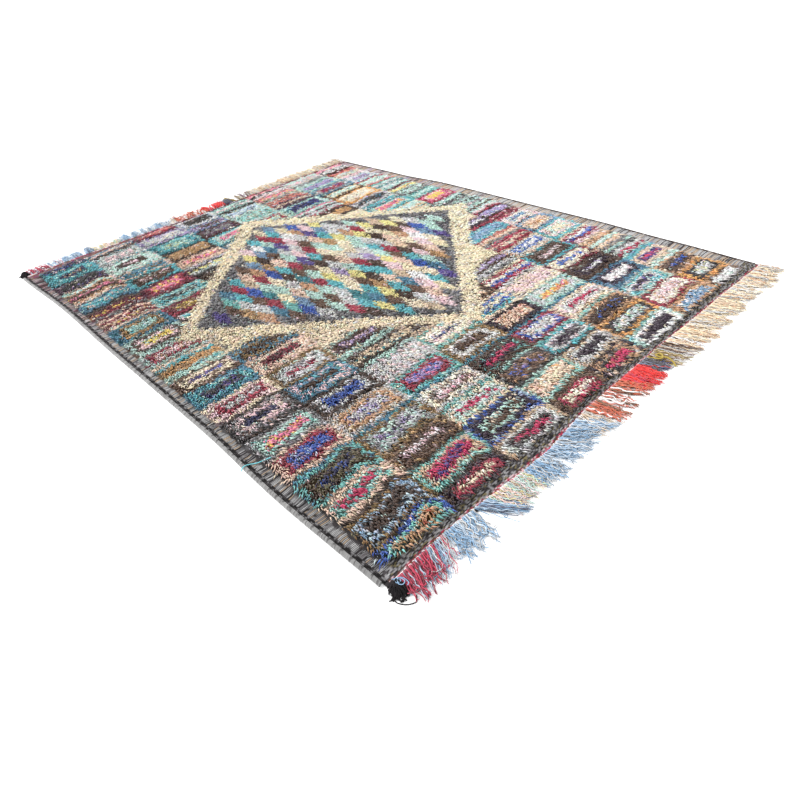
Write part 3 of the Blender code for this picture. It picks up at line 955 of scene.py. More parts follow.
def soiling_group() -> bpy.types.NodeTree:
    """Slow patches where the yarn is a little washed out or dull."""
    name = "soiling"
    if name in bpy.data.node_groups:
        return bpy.data.node_groups[name]
    graph = Graph.group(
        name, {"Vector": "Vector", "Colour": "Color", "Amount": "Float"}, {"Colour": "Color"}
    )
    given, result = (graph.tree.nodes[f"Group {way}"] for way in ("Input", "Output"))
    vector, colour, amount = list(given.outputs)[:3]
    noise = graph.add("TexNoise", {"Vector": vector, "Scale": 14.0, "Detail": 3.0})
    weight = graph.add("Math", {0: noise.outputs["Fac"], 1: amount}, operation="MULTIPLY")
    mixed = {"Factor": weight.outputs[0], "A": colour, "B": (0.22, 0.19, 0.16, 1.0)}
    dull = graph.add("Mix", mixed, data_type="RGBA")
    graph.feed(result, {"Colour": dull.outputs["Result"]})
    return graph.tree


@dataclass(frozen=True)
class YarnFinish:
    """A matt yarn: its painted colour with fibre grain, soiling, fine relief and a soft sheen."""

    name: str
    grain: float = 900.0
    contrast: float = 0.35
    bump: float = 0.25
    roughness: float = 0.9
    sheen: float = 0.25
    sheen_roughness: float = 0.6
    specular: float = 0.15
    relief: float = 0.0006
    soil: float = 0.12

    def material(self) -> bpy.types.Material:
        """The finish as a material."""
        material = bpy.data.materials.new(self.name)
        material.use_nodes = True
        graph = Graph(material.node_tree)
        place = graph.add("TexCoord", {}).outputs["Object"]
        painted = graph.add("Attribute", {}, attribute_name=YARN_COLOUR)
        given = {"Vector": place, "Colour": painted.outputs["Color"]}
        given |= {"Scale": self.grain, "Contrast": self.contrast}
        grain = graph.add("Group", given, node_tree=fibre_grain_group())
        given = {"Vector": place, "Colour": grain.outputs["Colour"], "Amount": self.soil}
        soil = graph.add("Group", given, node_tree=soiling_group())
        given = {"Height": grain.outputs["Height"], "Strength": self.bump, "Distance": self.relief}
        bump = graph.add("Bump", given)
        graph.feed(
            material.node_tree.nodes["Principled BSDF"],
            {
                "Base Color": soil.outputs["Colour"],
                "Normal": bump.outputs["Normal"],
                "Roughness": self.roughness,
                "Sheen Weight": self.sheen,
                "Sheen Roughness": self.sheen_roughness,
                "Specular IOR Level": self.specular,
            },
        )
        return material


PILE_FINISH = YarnFinish("rag_pile_yarn", grain=700.0, contrast=0.35, bump=0.3)
WEAVE_FINISH = YarnFinish(
    "flat_weave_yarn", grain=1400.0, contrast=0.5, bump=0.3, sheen=0.02, soil=0.02
)
CORD_FINISH = YarnFinish("wrapped_cord_wool", grain=1100.0, contrast=0.3, bump=0.3, sheen=0.3)
WARP_FINISH = YarnFinish("warp_cotton", grain=1300.0, contrast=0.35, bump=0.3, sheen=0.2)
BLACK_FINISH = YarnFinish("black_tassel_wool", grain=1300.0, contrast=0.4, sheen=0.02, soil=0.0)


def dress(piece: Piece, finish: YarnFinish, slot: str, *nodes: str) -> Piece:
    """Gives a piece its finish and body, and reports it.

    Args:
        piece: The piece.
        finish: Its finish.
        slot: The record's material slot; not used.
        nodes: The CAD nodes that it stands for.

    Returns:
        The same piece.
    """
    known = bpy.data.materials.get(finish.name)
    piece.data.materials.append(known or finish.material())
    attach(piece, BODY)
    if nodes:
        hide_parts(*nodes)
    mesh = piece.data
    LOG.info("%s: %d triangles", piece.name, len(mesh.loops) - 2 * len(mesh.polygons))
    return piece


@dataclass
class TuftField:
    """The knotted rag pile: knots in rows, with two short tufts each that lean to the near end.

    Pairs hold a low and a high limit of a random factor, and a comb holds a field's strength as
    an angle and its wavelength.
    """

    outline: RugOutline
    pattern: PilePattern
    relief: PileRelief
    across: float = 0.0059
    along: float = 0.0083
    jitter: float = 0.26
    inset: float = 0.029
    rim: float = 0.005
    tufts_each: int = 2
    parting: float = 0.0015
    parting_angle: float = 0.09
    tuft_turn: float = 0.07
    tuft_shift: Pair = (0.0005, 0.0016)
    root_height: float = 0.0075
    run: float = 0.0200
    run_spread: float = 0.33
    run_limits: Pair = (0.004, 0.030)
    rise_limits: Pair = (0.91, 1.05)
    radius: float = 0.00165
    radius_limits: Pair = (0.75, 1.3)
    bend_run: float = 0.42
    bend_rise: float = 0.80
    curl: float = 0.0013
    roll: float = 0.5
    most_roll: float = 1.1
    splay: float = 0.55
    splay_reach: float = 0.014
    combs: tuple[Pair, ...] = ((0.20, 0.30), (0.22, 0.040))
    knot_turn: float = 0.09
    seen_share: float = 0.55
    depth: float = 1.26
    gain: float = 1.15
    clump: Pair = (0.12, 0.013)
    # Painted light: how much brighter the knots grow for each metre towards the plain side and the far end
    painted_light_slope: Pair = (0.20, 0.02)
    knot_spread: float = 0.08
    hue_spread: float = 0.045
    tuft_spread: float = 0.05
    brightest: float = 0.93
    # Painted shade and light on a tuft's root, bend points and tip: a dark root, one bend point a little
    # darker than the other, and a painted highlight at the tip
    shade: tuple[float, ...] = (0.36, 1.00, 0.95, 1.06)
    piece_count: int = 4
    seed: int = 41

    def knots(self, rng: np.random.Generator) -> tuple[Array, Array]:
        """The places of the knots: rows along X, shifted by half a step in every second row."""
        o = self.outline
        columns = int(self.pattern.edges[-1] / self.across)
        rows = int((o.pile_far - o.pile_near - self.inset) / self.along)
        i, j = np.meshgrid(np.arange(columns), np.arange(rows))
        y = o.pile_near + self.inset + (j + 0.5) * self.along
        left, right = o.pile_left(y) + self.rim, o.pile_right(y) - self.rim / 2
        x = left + (right - left) * (i + 0.25 + 0.5 * (j % 2)) / columns
        x = x + rng.normal(0, self.jitter, x.shape) * self.across
        y = y + rng.normal(0, self.jitter, y.shape) * self.along
        return x.ravel(), y.ravel()

    def lean(self, x: Array, y: Array, rng: np.random.Generator) -> Array:
        """Which way each knot's tufts lie, as an angle from -Y towards +X.

        Formula in words: slow and quick fields comb the pile in patches, each knot strays a
        little, and beside a box's long edges the tufts turn towards the groove.
        """
        place = self.pattern.box_place(x, y)
        side = np.where(place.share < 0.5, -1.0, 1.0)
        boxed = self.pattern.lozenge_share(x, y) > 1
        turn = self.splay * side * np.exp(-place.beside / self.splay_reach) * boxed
        (slow, slow_wave), (quick, quick_wave) = self.combs
        combed = slow * ripple(x, y, slow_wave, self.seed)
        combed = combed + quick * ripple(x, y, quick_wave, self.seed + 1)
        return combed + turn + rng.normal(0, self.knot_turn, x.shape)

    def tint(self, colours: Array, x: Array, y: Array, rng: np.random.Generator) -> Array:
        """Varies each knot's brightness and hue a little.

        Formula in words: a dark yarn is deepened by a power of its light, the knots grow a little
        lighter towards the plain side and the far end as painted light, and clumps of knots and
        single knots stray.

        Args:
            colours: The yarns' colours.
            x: Places across the rug.
            y: Places along the rug.
            rng: The seeded draws.

        Returns:
            The knots' colours.
        """
        clump = self.clump[0] * ripple(x, y, self.clump[1], self.seed + 2)
        # Painted light: the knots grow brighter towards the plain side and the far end
        painted_light = self.painted_light_slope[0] * x + self.painted_light_slope[1] * y
        bright = np.exp(clump + painted_light + rng.normal(0, self.knot_spread, x.shape))[:, None]
        light = (colours @ LUMINANCE)[:, None]
        deep = self.gain * colours * light ** (self.depth - 1)
        hue = np.exp(rng.normal(0, self.hue_spread, (len(x), 3)))
        return np.minimum(deep * bright * hue, self.brightest)

    def build(self) -> list[Piece]:
        """Builds the pile in a few pieces.

        Formula in words: a tuft is a slim folded blade with a root, two points at its bend, one
        on each side and rolled a little, and a tip. The bend lies two fifths of the way along,
        at four fifths of the height and a little to one side, so the tuft rises first and then
        leans over. The tufts of a knot share its colour and stand a little apart.

        Returns:
            The pieces.
        """
        rng = np.random.default_rng(self.seed)
        x, y = self.knots(rng)
        angle = self.lean(x, y, rng)
        shown = self.seen_share * self.run
        seen_x, seen_y = x + np.sin(angle) * shown, y - np.cos(angle) * shown
        colour = self.tint(self.pattern.colours(seen_x, seen_y), x, y, rng)
        height = self.relief.height(x, y)
        x, y, angle, height = (np.repeat(a, self.tufts_each) for a in (x, y, angle, height))
        colour = np.repeat(colour, self.tufts_each, axis=0)
        count = len(x)
        apart = np.where(np.arange(count) % 2, 1.0, -1.0)
        angle = angle + self.parting_angle * apart + rng.normal(0, self.tuft_turn, count)
        x = x + self.parting * apart + rng.normal(0, self.tuft_shift[0], count)
        y = y + rng.normal(0, self.tuft_shift[1], count)
        run = np.clip(self.run * (1 + self.run_spread * rng.normal(0, 1, count)), *self.run_limits)
        way = np.stack([np.sin(angle), -np.cos(angle), np.zeros(count)], axis=1)
        height = height * rng.uniform(*self.rise_limits, count)
        root = np.stack([x, y, np.full(count, self.root_height)], axis=1)
        tip = root + way * run[:, None]
        tip[:, 2] = height
        bend = root + way * (self.bend_run * run)[:, None]
        bend[:, 2] = self.root_height + (height - self.root_height) * self.bend_rise
        along = (tip - root) / np.linalg.norm(tip - root, axis=1, keepdims=True)
        side = np.stack([np.cos(angle), np.sin(angle), np.zeros(count)], axis=1)
        bend = bend + side * rng.normal(0, self.curl, (count, 1))
        roll = np.clip(rng.normal(0, self.roll, (count, 1)), -self.most_roll, self.most_roll)
        half = side * np.cos(roll) + np.cross(side, along) * np.sin(roll)
        half = half * self.radius * rng.uniform(*self.radius_limits, (count, 1))
        points = np.stack([root, bend + half, bend - half, tip], axis=1)
        colour = colour * np.exp(rng.normal(0, self.tuft_spread, (count, 1)))
        # Painted shade at each tuft's root and a painted highlight at its tip
        colours = colour[:, None] * np.array(self.shade)[None, :, None]
        band = np.minimum((np.arange(count) * self.piece_count) // count, self.piece_count - 1)
        return [
            self.piece(f"rag_pile_{k + 1}", points[band == k], colours[band == k])
            for k in range(self.piece_count)
        ]

    def piece(self, name: str, points: Array, colours: Array) -> Piece:
        """Makes one piece of the pile.

        Formula in words: the bake's map unfolds a blade's four faces into a strip of two
        squares, and the strips fill a square from row to row.

        Args:
            name: The piece's name.
            points: Four points for each tuft.
            colours: Their colours.

        Returns:
            The piece.
        """
        faces = np.array([(0, 2, 1), (3, 1, 2), (0, 1, 3), (0, 3, 2)])
        first = (np.arange(len(points)) * 4)[:, None, None]
        corners = (faces[None] + first).reshape(-1)
        mesh = fill_mesh(name, points.reshape(-1, 3), corners, np.arange(0, len(corners), 3))
        paint(mesh, colours.reshape(-1, 3))
        columns = int(np.ceil(np.sqrt(len(points) / 2)))
        tuft = np.arange(len(points))
        place = np.stack([2 * (tuft % columns), tuft // columns], axis=1)[:, None]
        unfolded = (place + np.array(BLADE_STRIP)[None]) / (2 * columns)
        layer = mesh.uv_layers.new(name=BAKE_MAP)
        layer.uv.foreach_set("vector", unfolded.astype(np.float32).ravel())
        return dress(link_mesh(name, mesh), PILE_FINISH, "rag_pile")


@dataclass(frozen=True)
class StripStyle:
    """The threads of a ribbed side strip.

    light and far are the mixtures of its ribs at the near and the far part of the side, dim
    is the power of e that darkens them, gap is the light of the dark threads, and edge is how
    far its outer edge lies inside the cloth's edge.
    """

    light: str
    far: str
    dim: float
    gap: float
    edge: float


CORDED_STRIP = StripStyle(
    "silver+grey+silver+beige+silver+grey", "brown+plum+grey+umber+blush", -0.72, 1.0, 0.0095
)
PLAIN_STRIP = StripStyle(
    "silver+beige+silver+grey+beige+silver", "blush+beige+silver+tan+lilac", -0.28, 2.5, 0.0030
)


@dataclass(frozen=True)
class BandStyle:
    """The yarns of an end band, beside the pile and beside the fringe, and its pile edge."""

    inner: str
    outer: str
    start: float


END_BANDS = {
    End.NEAR: BandStyle(
        "charcoal+grey+black+charcoal+olive+black+grey", "wine+charcoal+blush+umber+crimson+grey", 0.031
    ),
    End.FAR: BandStyle("umber+brown+plum+charcoal", "grey+brown+plum+wine", 0.010),
}


@dataclass
class GroundWeave:
    """The cloth that carries the pile, with its ribbed sides and flat-woven ends.

    The dims and lights are factors of a colour, the shares are of its threads, and the spreads
    those of a normal draw.
    """

    outline: RugOutline
    pattern: PilePattern
    half_width: float = 0.88
    half_length: float = 1.1
    cell: float = 0.020
    weave_height: float = 0.0030
    pile_base: float = 0.0088
    bare_near: float = 0.027
    rim_run: float = 0.014
    tinted_from: float = 0.010
    # Painted shade: the factor that darkens the pile's colour on the cloth that shows between the tufts
    pile_gap_shade: float = 0.40
    unevenness: float = 0.0003
    strip_half: float = 1.088
    strip_tuck: float = 0.008
    strip_height: float = 0.0040
    strip_columns: int = 4
    rib_pitch: float = 0.0040
    rib_height: float = 0.0010
    rib_samples: int = 4
    rib_slant: float = 0.0016
    rib_unevenness: float = 0.0005
    rib_spread: float = 0.10
    thread_spread: float = 0.12
    far_start: float = 0.10
    far_run: float = 0.7
    far_most: float = 0.85
    far_dim: float = 0.8
    streak_share: float = 0.10
    streak_light: float = 1.6
    fleck_share: float = 0.12
    band_columns: int = 300
    band_reach: float = 0.999
    band_height: float = 0.0042
    weft_height: float = 0.0011
    weft_pitch: float = 0.0030
    weft_samples: int = 3
    outer_wefts: int = 4
    outer_dim: float = 0.75
    band_dim: float = 0.75
    white_share: float = 0.03
    white_dim: float = 0.7
    seed: int = 61

    def cloth(self) -> Piece:
        """The ground cloth.

        Formula in words: rows of points from edge to edge stand at the weave's height, and
        swell to the pile's base inside the pile's outline over rim_run.

        Returns:
            The piece, closed below on the floor.
        """
        o = self.outline
        across = np.linspace(0, 1, int(2 * self.half_width / self.cell))
        along = np.linspace(-1, 1, int(2 * self.half_length / self.cell))
        share, way = np.meshgrid(across, along)
        y = way * self.half_length
        left, right = o.cloth_left(y), o.cloth_right(y)
        x = left + (right - left) * share
        reach = np.where(way < 0, -o.cloth_end(x, End.NEAR), o.cloth_end(x, End.FAR))
        y = way * reach
        inside = np.minimum(
            np.minimum(x - o.pile_left(y), o.pile_right(y) - x),
            np.minimum(y - o.pile_near - self.bare_near, o.pile_far - y),
        )
        rise = np.clip(inside / self.rim_run, 0, 1)
        z = self.weave_height + (self.pile_base - self.weave_height) * rise
        z = z + self.unevenness * ripple(x, y, 0.05, self.seed) * rise
        top = np.stack([x, y, z], axis=-1)
        # Painted shade: the cloth under the pile takes the pile's colour, darkened as shade between the
        # tufts
        base = self.pattern.colours(x.ravel(), y.ravel()).reshape(top.shape) * self.pile_gap_shade
        rim = Yarn.CHARCOAL.linear * 0.5
        colours = np.where((inside > self.tinted_from)[..., None], base, rim)
        rings, tints = slab_rings(top, colours)
        return dress(loft("ground_cloth", rings, tints), WEAVE_FINISH, "rag_pile", "rug_cloth")

    def side_strip(self, name: str, corded: bool) -> Piece:
        """A ribbed flat-woven strip beside the pile.

        Formula in words: across the strip the height is level, and along it each rib is the
        upper half of a sine wave, with light and dark threads taking turns.

        Args:
            name: The piece's name.
            corded: Whether it is the one beside the wrapped cord.

        Returns:
            The piece.
        """
        o = self.outline
        style = CORDED_STRIP if corded else PLAIN_STRIP
        rng = np.random.default_rng(self.seed + corded)
        ribs = int((o.cloth_end(0.0, End.FAR) - o.cloth_end(0.0, End.NEAR)) / self.rib_pitch)
        rows = ribs * self.rib_samples
        y = np.linspace(-self.strip_half, self.strip_half, rows)
        if corded:
            inner, outer = o.pile_left(y) + self.strip_tuck, o.cloth_left(y) + style.edge
        else:
            inner, outer = o.pile_right(y) - self.strip_tuck, o.cloth_right(y) - style.edge
        x = outer[:, None] + (inner - outer)[:, None] * np.linspace(0, 1, self.strip_columns)
        rib = np.arange(rows) // self.rib_samples
        phase = (np.arange(rows) % self.rib_samples + 0.5) / self.rib_samples
        slant = self.rib_slant * ripple(x, y[:, None], 0.08, self.seed + 3)
        z = self.strip_height + self.rib_height * np.sin(np.pi * phase)[:, None]
        z = z + self.rib_unevenness * ripple(x, y[:, None], 0.03, self.seed + 4)
        top = np.stack([x, y[:, None] + slant, z], axis=-1)
        light, mauve = mixture_colours(style.light), mixture_colours(style.far)
        dark = mixture_colours("black+black+charcoal+black")
        far = (y / self.half_length - self.far_start) / self.far_run
        far = np.clip(far + 0.20 * ripple(0.0, y, 0.12, self.seed + 5), 0, 1)
        is_far = rng.uniform(0, 1, ribs)[rib] < far * self.far_most
        body = draw_rows(light, ribs, rng)[rib]
        body = np.where(is_far[:, None], draw_rows(mauve, ribs, rng)[rib] * self.far_dim, body)
        gap = draw_rows(dark, ribs, rng)[rib] * style.gap
        body = body * np.exp(rng.normal(style.dim, self.rib_spread, (ribs, 1)))[rib]
        streak = rng.uniform(0, 1, ribs)[rib] < self.streak_share
        body = np.where(streak[:, None], gap * self.streak_light, body)
        colour = np.where((phase > 0.5)[:, None], gap, body)[:, None]
        fleck = rng.uniform(0, 1, (ribs + 1, self.strip_columns))[rib]
        colour = np.where((fleck < self.fleck_share)[..., None], gap[:, None], colour)
        colour = colour * np.exp(rng.normal(0, self.thread_spread, (*x.shape, 1)))
        rings, tints = slab_rings(top, colour)
        return dress(loft(name, rings, tints), WEAVE_FINISH, "rag_pile")

    def end_band(self, end: End) -> Piece:
        """The narrow flat-woven band between the pile and the fringe.

        Formula in words: the height is a sine wave across the wefts, which run along X.

        Args:
            end: Which end of the rug.

        Returns:
            The piece.
        """
        o = self.outline
        style = END_BANDS[end]
        rng = np.random.default_rng(self.seed + 10 + end.value)
        x = np.linspace(*o.strip_end, self.band_columns)
        inner = o.pile_near + style.start if end is End.NEAR else o.pile_far - style.start
        outer = o.cloth_end(x, end) * self.band_reach
        wefts = max(4, int(abs(float(outer.mean()) - inner) / self.weft_pitch))
        line = np.arange(1 + self.weft_samples * wefts)
        y = inner + (outer[:, None] - inner) * np.linspace(0, 1, len(line))
        weft = line // self.weft_samples
        wave = np.sin(np.pi * (line % self.weft_samples + 0.5) / self.weft_samples)
        z = self.band_height + self.weft_height * wave[None]
        z = z + self.unevenness * ripple(x[:, None], y, 0.02, self.seed)
        top = np.stack([np.broadcast_to(x[:, None], y.shape), y, z], axis=-1)
        shape = (len(x), wefts + 1)
        last = (np.arange(wefts + 1) > wefts - self.outer_wefts)[None, :, None]
        outer_part = draw_rows(mixture_colours(style.outer), shape, rng) * self.outer_dim
        inner_part = draw_rows(mixture_colours(style.inner), shape, rng)
        colour = np.where(last, outer_part, inner_part)
        white = rng.uniform(0, 1, shape) < self.white_share
        colour = np.where(white[..., None], Yarn.SILVER.linear * self.white_dim, colour)
        rings, tints = slab_rings(top, colour[:, weft] * self.band_dim)
        name = f"{end.name.lower()}_end_band"
        return dress(loft(name, rings, tints), WEAVE_FINISH, "rag_pile")


def slab_rings(top: Array, colours: Array) -> tuple[Array, Array]:
    """Closes rows of points downwards to the floor.

    Formula in words: each row becomes a ring by adding a point on the floor under its last
    point and one under its first, and these floor points take half the colour as painted shade.

    Args:
        top: Points, as rows by points by 3.
        colours: Their colours, in the same shape.

    Returns:
        Rings and their colours for loft(), as one tube.
    """
    foot = top[:, [-1, 0]] * np.array([1.0, 1.0, 0.0]) + np.array([0.0, 0.0, 0.0003])
    rings = np.concatenate([top, foot], axis=1)[None]
    # Painted shade: the points on the floor take half the colour of the rows above them
    tints = np.concatenate([colours, colours[:, [-1, 0]] * 0.5], axis=1)[None]
    return rings, tints


@dataclass
class SideFinish:
    """The wrapped cord, the overcast warps beside it and the selvedge of the plain side."""

    outline: RugOutline
    cord_ends: Pair = (-1.091, 1.092)
    cord_sides: int = 8
    cord_half: float = 0.0060
    cord_height: float = 0.0112
    cord_sink: float = 0.0004
    wrap_pitch: float = 0.0031
    wrap_lag: float = 0.0022
    wrap_dim: float = -1.15
    wrap_spread: float = 0.12
    samples: int = 3
    segment: float = 0.028
    segment_limits: Pair = (0.7, 1.35)
    most_segments: int = 120
    join_run: float = 0.0022
    dash_half: float = 0.0035
    side_half: float = 1.094
    side_step: float = 0.0030
    corded_places: Pair = (0.0026, 0.0076)
    plain_places: Pair = (0.0030, 0.0076)
    bundle_sides: int = 6
    bundle_radius: float = 0.0026
    bundle_lift: float = 0.0012
    bundle_flatness: float = 0.9
    stitch: float = 0.0045
    check: float = 0.0062
    overcast_dim: float = 0.45
    seed: int = 71

    def cord(self) -> Piece:
        """The thick cord, wrapped in grey wool.

        Formula in words: an oval profile, flattened where it rests, whose size pulses once for
        each wrap and dips where one length of wrapping meets the next. Each wrap is painted darker
        towards its edges, as painted shade in the grooves between wraps.

        Returns:
            The piece.
        """
        rng = np.random.default_rng(self.seed)
        near_end, far_end = self.cord_ends
        count = int((far_end - near_end) / self.wrap_pitch * self.samples)
        y = np.linspace(near_end, far_end, count)
        phase = (np.arange(count) % self.samples + 0.5) / self.samples
        pulse = np.sin(np.pi * phase)
        wrap = np.arange(count) // self.samples
        wraps = wrap.max() + 1
        lengths = self.segment * rng.uniform(*self.segment_limits, self.most_segments)
        joins = near_end + np.cumsum(lengths)
        near = np.abs(y[:, None] - joins).min(axis=1)
        size = 0.93 + 0.05 * pulse - 0.08 * np.exp(-((near / self.join_run) ** 2))
        size = size + 0.02 * ripple(0.0, y, 0.09, self.seed + 1)
        turn = (np.arange(self.cord_sides) + 0.5) * FULL_TURN / self.cord_sides
        middle = self.outline.corded_x(y) + self.cord_half
        x = middle[:, None] + self.cord_half * np.cos(turn) * np.minimum(size, 1.0)[:, None]
        up = self.cord_height / 2 * (1 + np.sin(turn) * size[:, None]) - self.cord_sink
        lagging = y[:, None] + self.wrap_lag * np.cos(turn)
        rings = np.stack([x, lagging, np.maximum(up, self.cord_sink / 2)], axis=-1)[None]
        base = draw_rows(mixture_colours("silver+silver+grey+silver+silver"), wraps, rng)[wrap]
        base = base * np.exp(rng.normal(self.wrap_dim, self.wrap_spread, (wraps, 1)))[wrap]
        # Painted shade: each wrap is darker towards the grooves between wraps
        base = base * (0.60 + 0.40 * pulse)[:, None]
        colours = np.repeat(base[:, None], self.cord_sides, axis=1)
        inner = np.cos(turn) > 0.35
        dash = (near < self.dash_half)[:, None] & inner
        colours = np.where(dash[..., None], Yarn.BLACK.linear, colours)
        piece = loft("side_cord_wrap", rings, colours[None])
        return dress(piece, CORD_FINISH, "grey_cord_wool", "side_cord")

    def overcast(
        self, name: str, lines: list[Array], y: Array, light: str, dark: str
    ) -> Piece:
        """Bundles of warps along a side, overcast in two colours that take turns.

        Formula in words: round tubes along Y whose radius pulses with the stitches, coloured by
        the whole number of stitches along, and shifted by one from each tube to the next.

        Args:
            name: The piece's name.
            lines: The X of each bundle along y.
            y: Places along the side.
            light: The light yarns.
            dark: The dark yarns.

        Returns:
            The piece.
        """
        rng = np.random.default_rng(self.seed + len(name))
        pale, deep = mixture_colours(light), mixture_colours(dark)
        up = np.full(len(y), self.bundle_radius + self.bundle_lift)
        paths, radii, tints = [], [], []
        for k, x in enumerate(lines):
            pulse = np.abs(np.sin(np.pi * y / self.stitch + k))
            paths.append(np.stack([x, y, up], axis=1))
            radii.append(self.bundle_radius * (0.88 + 0.14 * pulse))
            check = (y / self.check + 0.5 * ripple(0.0, y, 0.03, self.seed + k)).astype(int)
            is_dark = (check + k) % 5 > 1
            dark_part = draw_rows(deep, len(y), rng)
            light_part = draw_rows(pale, len(y), rng)
            colour = np.where(is_dark[:, None], dark_part, light_part) * self.overcast_dim
            tints.append(np.repeat(colour[:, None], self.bundle_sides, axis=1))
        rings = tubes_along(
            np.stack(paths), np.stack(radii), self.bundle_sides, self.bundle_flatness
        )
        return dress(loft(name, rings, np.stack(tints)), WEAVE_FINISH, "rag_pile")

    def build(self) -> list[Piece]:
        """Builds the cord, the overcast warps and the selvedge."""
        y = np.arange(-self.side_half, self.side_half, self.side_step)
        warps = [self.outline.cloth_left(y) + place for place in self.corded_places]
        selvedge = [self.outline.cloth_right(y) - place for place in self.plain_places]
        return [
            self.cord(),
            self.overcast("overcast_warps", warps, y, "grey+charcoal+charcoal", "black"),
            self.overcast("plain_selvedge", selvedge, y, "umber+charcoal+grey", "black+umber"),
        ]


@dataclass
class TwinedChain:
    """The twined chain that locks the last weft at each end."""

    outline: RugOutline
    pitch: float = 0.0125
    samples: int = 5
    sides: int = 4
    radius: float = 0.0013
    swing: float = 0.0013
    inset: float = 0.0026
    height: float = 0.0058
    mixture: str = "crimson+white+plum+blush+umber+silver+crimson+olive"
    change: int = 7
    seed: int = 81

    def build(self, end: End) -> Piece:
        """Builds the chain at one end.

        Formula in words: two yarns wind round the cloth's edge line, half a turn apart.

        Args:
            end: Which end of the rug.

        Returns:
            The piece.
        """
        rng = np.random.default_rng(self.seed + end.value)
        left, right = self.outline.strip_end
        count = int((right - left) / self.pitch * self.samples)
        x = np.linspace(left, right, count)
        number = np.arange(count)
        edge = self.outline.cloth_end(x, end) - end.value * self.inset
        choice = mixture_colours(self.mixture)
        paths, tints = [], []
        for k in range(2):
            turn = FULL_TURN * x / self.pitch + np.pi * k
            y = edge + self.swing * np.cos(turn)
            z = self.height + self.swing * np.sin(turn)
            paths.append(np.stack([x, y, z], axis=1))
            stretch = (number // (self.samples * 3) + 3 * k) % len(choice)
            skip = rng.integers(2, size=count // self.change + 1)[number // self.change]
            tint = choice[(stretch + skip) % len(choice)]
            tints.append(np.repeat(tint[:, None], self.sides, axis=1))
        rings = tubes_along(np.stack(paths), np.full((2, count), self.radius), self.sides)
        name = f"{end.name.lower()}_twined_chain"
        return dress(loft(name, rings, np.stack(tints)), WEAVE_FINISH, "rag_pile")


@dataclass(frozen=True)
class Bundle:
    """One colour of the fringe, between two places across the rug.

    lean is the slope of its yarns towards +X at its start and at its end, clumps the number of
    strands that its yarns draw together into, density the yarns for each centimetre, crinkle
    the swing of their waves, gather how far a strand draws them in, and reach their length as a
    share of the fringe's.
    """

    name: str
    slot: str
    start: float
    end: float
    mixture: str
    clumps: int
    lean: Pair
    density: float
    thickness: float
    crinkle: float
    gather: float
    reach: float = 1.0


# The colours of the fringe from the corded side to the plain side
FRINGE = (
    Bundle(
        "crimson", "crimson_warp", -0.850, -0.760,
        "crimson+wine+crimson+wine+crimson+pale_blue",
        clumps=3, lean=(-0.42, -0.36), density=8.0, thickness=0.0015, crinkle=0.0022, gather=0.25,
        reach=0.90,
    ),
    Bundle(
        "pale_blue", "pale_blue_warp", -0.760, -0.708,
        "pale_blue+silver+pale_blue+crimson+sky",
        clumps=2, lean=(-0.42, -0.30), density=8.0, thickness=0.0011, crinkle=0.0030, gather=0.30,
    ),
    Bundle(
        "sky_blue", "sky_blue_warp", -0.708, -0.615,
        "sky+pale_blue+silver+pale_blue+sky",
        clumps=4, lean=(-0.22, -0.08), density=7.6, thickness=0.0014, crinkle=0.0046, gather=0.40,
    ),
    Bundle(
        "blue_tuft", "mid_blue_warp", -0.612, -0.570,
        "sky+slate+sky+pale_blue",
        clumps=1, lean=(0.42, 0.55), density=13.0, thickness=0.0012, crinkle=0.0018, gather=0.60,
    ),
    Bundle(
        "peach_green", "peach_green_warp", -0.570, -0.450,
        "beige+mint+peach+lemon+blush+mint+silver",
        clumps=5, lean=(-0.05, 0.10), density=9.0, thickness=0.0011, crinkle=0.0046, gather=0.20,
        reach=0.86,
    ),
    Bundle(
        "light_blue", "light_blue_warp", -0.450, -0.215,
        "sky+pale_blue+silver+pale_blue+sky",
        clumps=9, lean=(0.04, 0.75), density=7.2, thickness=0.0014, crinkle=0.0042, gather=0.42,
    ),
    Bundle(
        "white", "white_warp", -0.215, -0.174,
        "white+ivory+silver+beige",
        clumps=2, lean=(0.05, 0.10), density=6.0, thickness=0.0010, crinkle=0.0036, gather=0.30,
    ),
    Bundle(
        "terracotta", "terracotta_warp", -0.174, -0.010,
        "rust+salmon+rust+white+rust+brown",
        clumps=6, lean=(0.0, 0.35), density=5.6, thickness=0.0018, crinkle=0.0040, gather=0.62,
        reach=0.94,
    ),
    Bundle(
        "red", "red_warp", -0.010, 0.085,
        "red+red+red+red+crimson",
        clumps=3, lean=(0.05, 0.22), density=10.0, thickness=0.0016, crinkle=0.0030, gather=0.25,
        reach=0.84,
    ),
    Bundle(
        "slate", "slate_warp", 0.085, 0.128,
        "slate+slate+navy+slate+charcoal",
        clumps=1, lean=(0.20, 0.30), density=13.0, thickness=0.0015, crinkle=0.0016, gather=0.60,
        reach=0.84,
    ),
    Bundle(
        "mustard", "mustard_warp", 0.128, 0.190,
        "beige+brown+silver+mustard+mustard",
        clumps=2, lean=(0.15, 0.25), density=7.0, thickness=0.0012, crinkle=0.0030, gather=0.50,
    ),
    Bundle(
        "brown_beige", "brown_beige_warp", 0.190, 0.235,
        "beige+silver+brown+plum+umber",
        clumps=2, lean=(0.30, 0.60), density=6.5, thickness=0.0012, crinkle=0.0024, gather=0.55,
    ),
    Bundle(
        "cream", "cream_warp", 0.235, 0.850,
        "cream+straw+silver+straw+beige+silver+tan",
        clumps=17, lean=(0.30, 0.22), density=9.0, thickness=0.0015, crinkle=0.0040, gather=0.48,
    ),
)


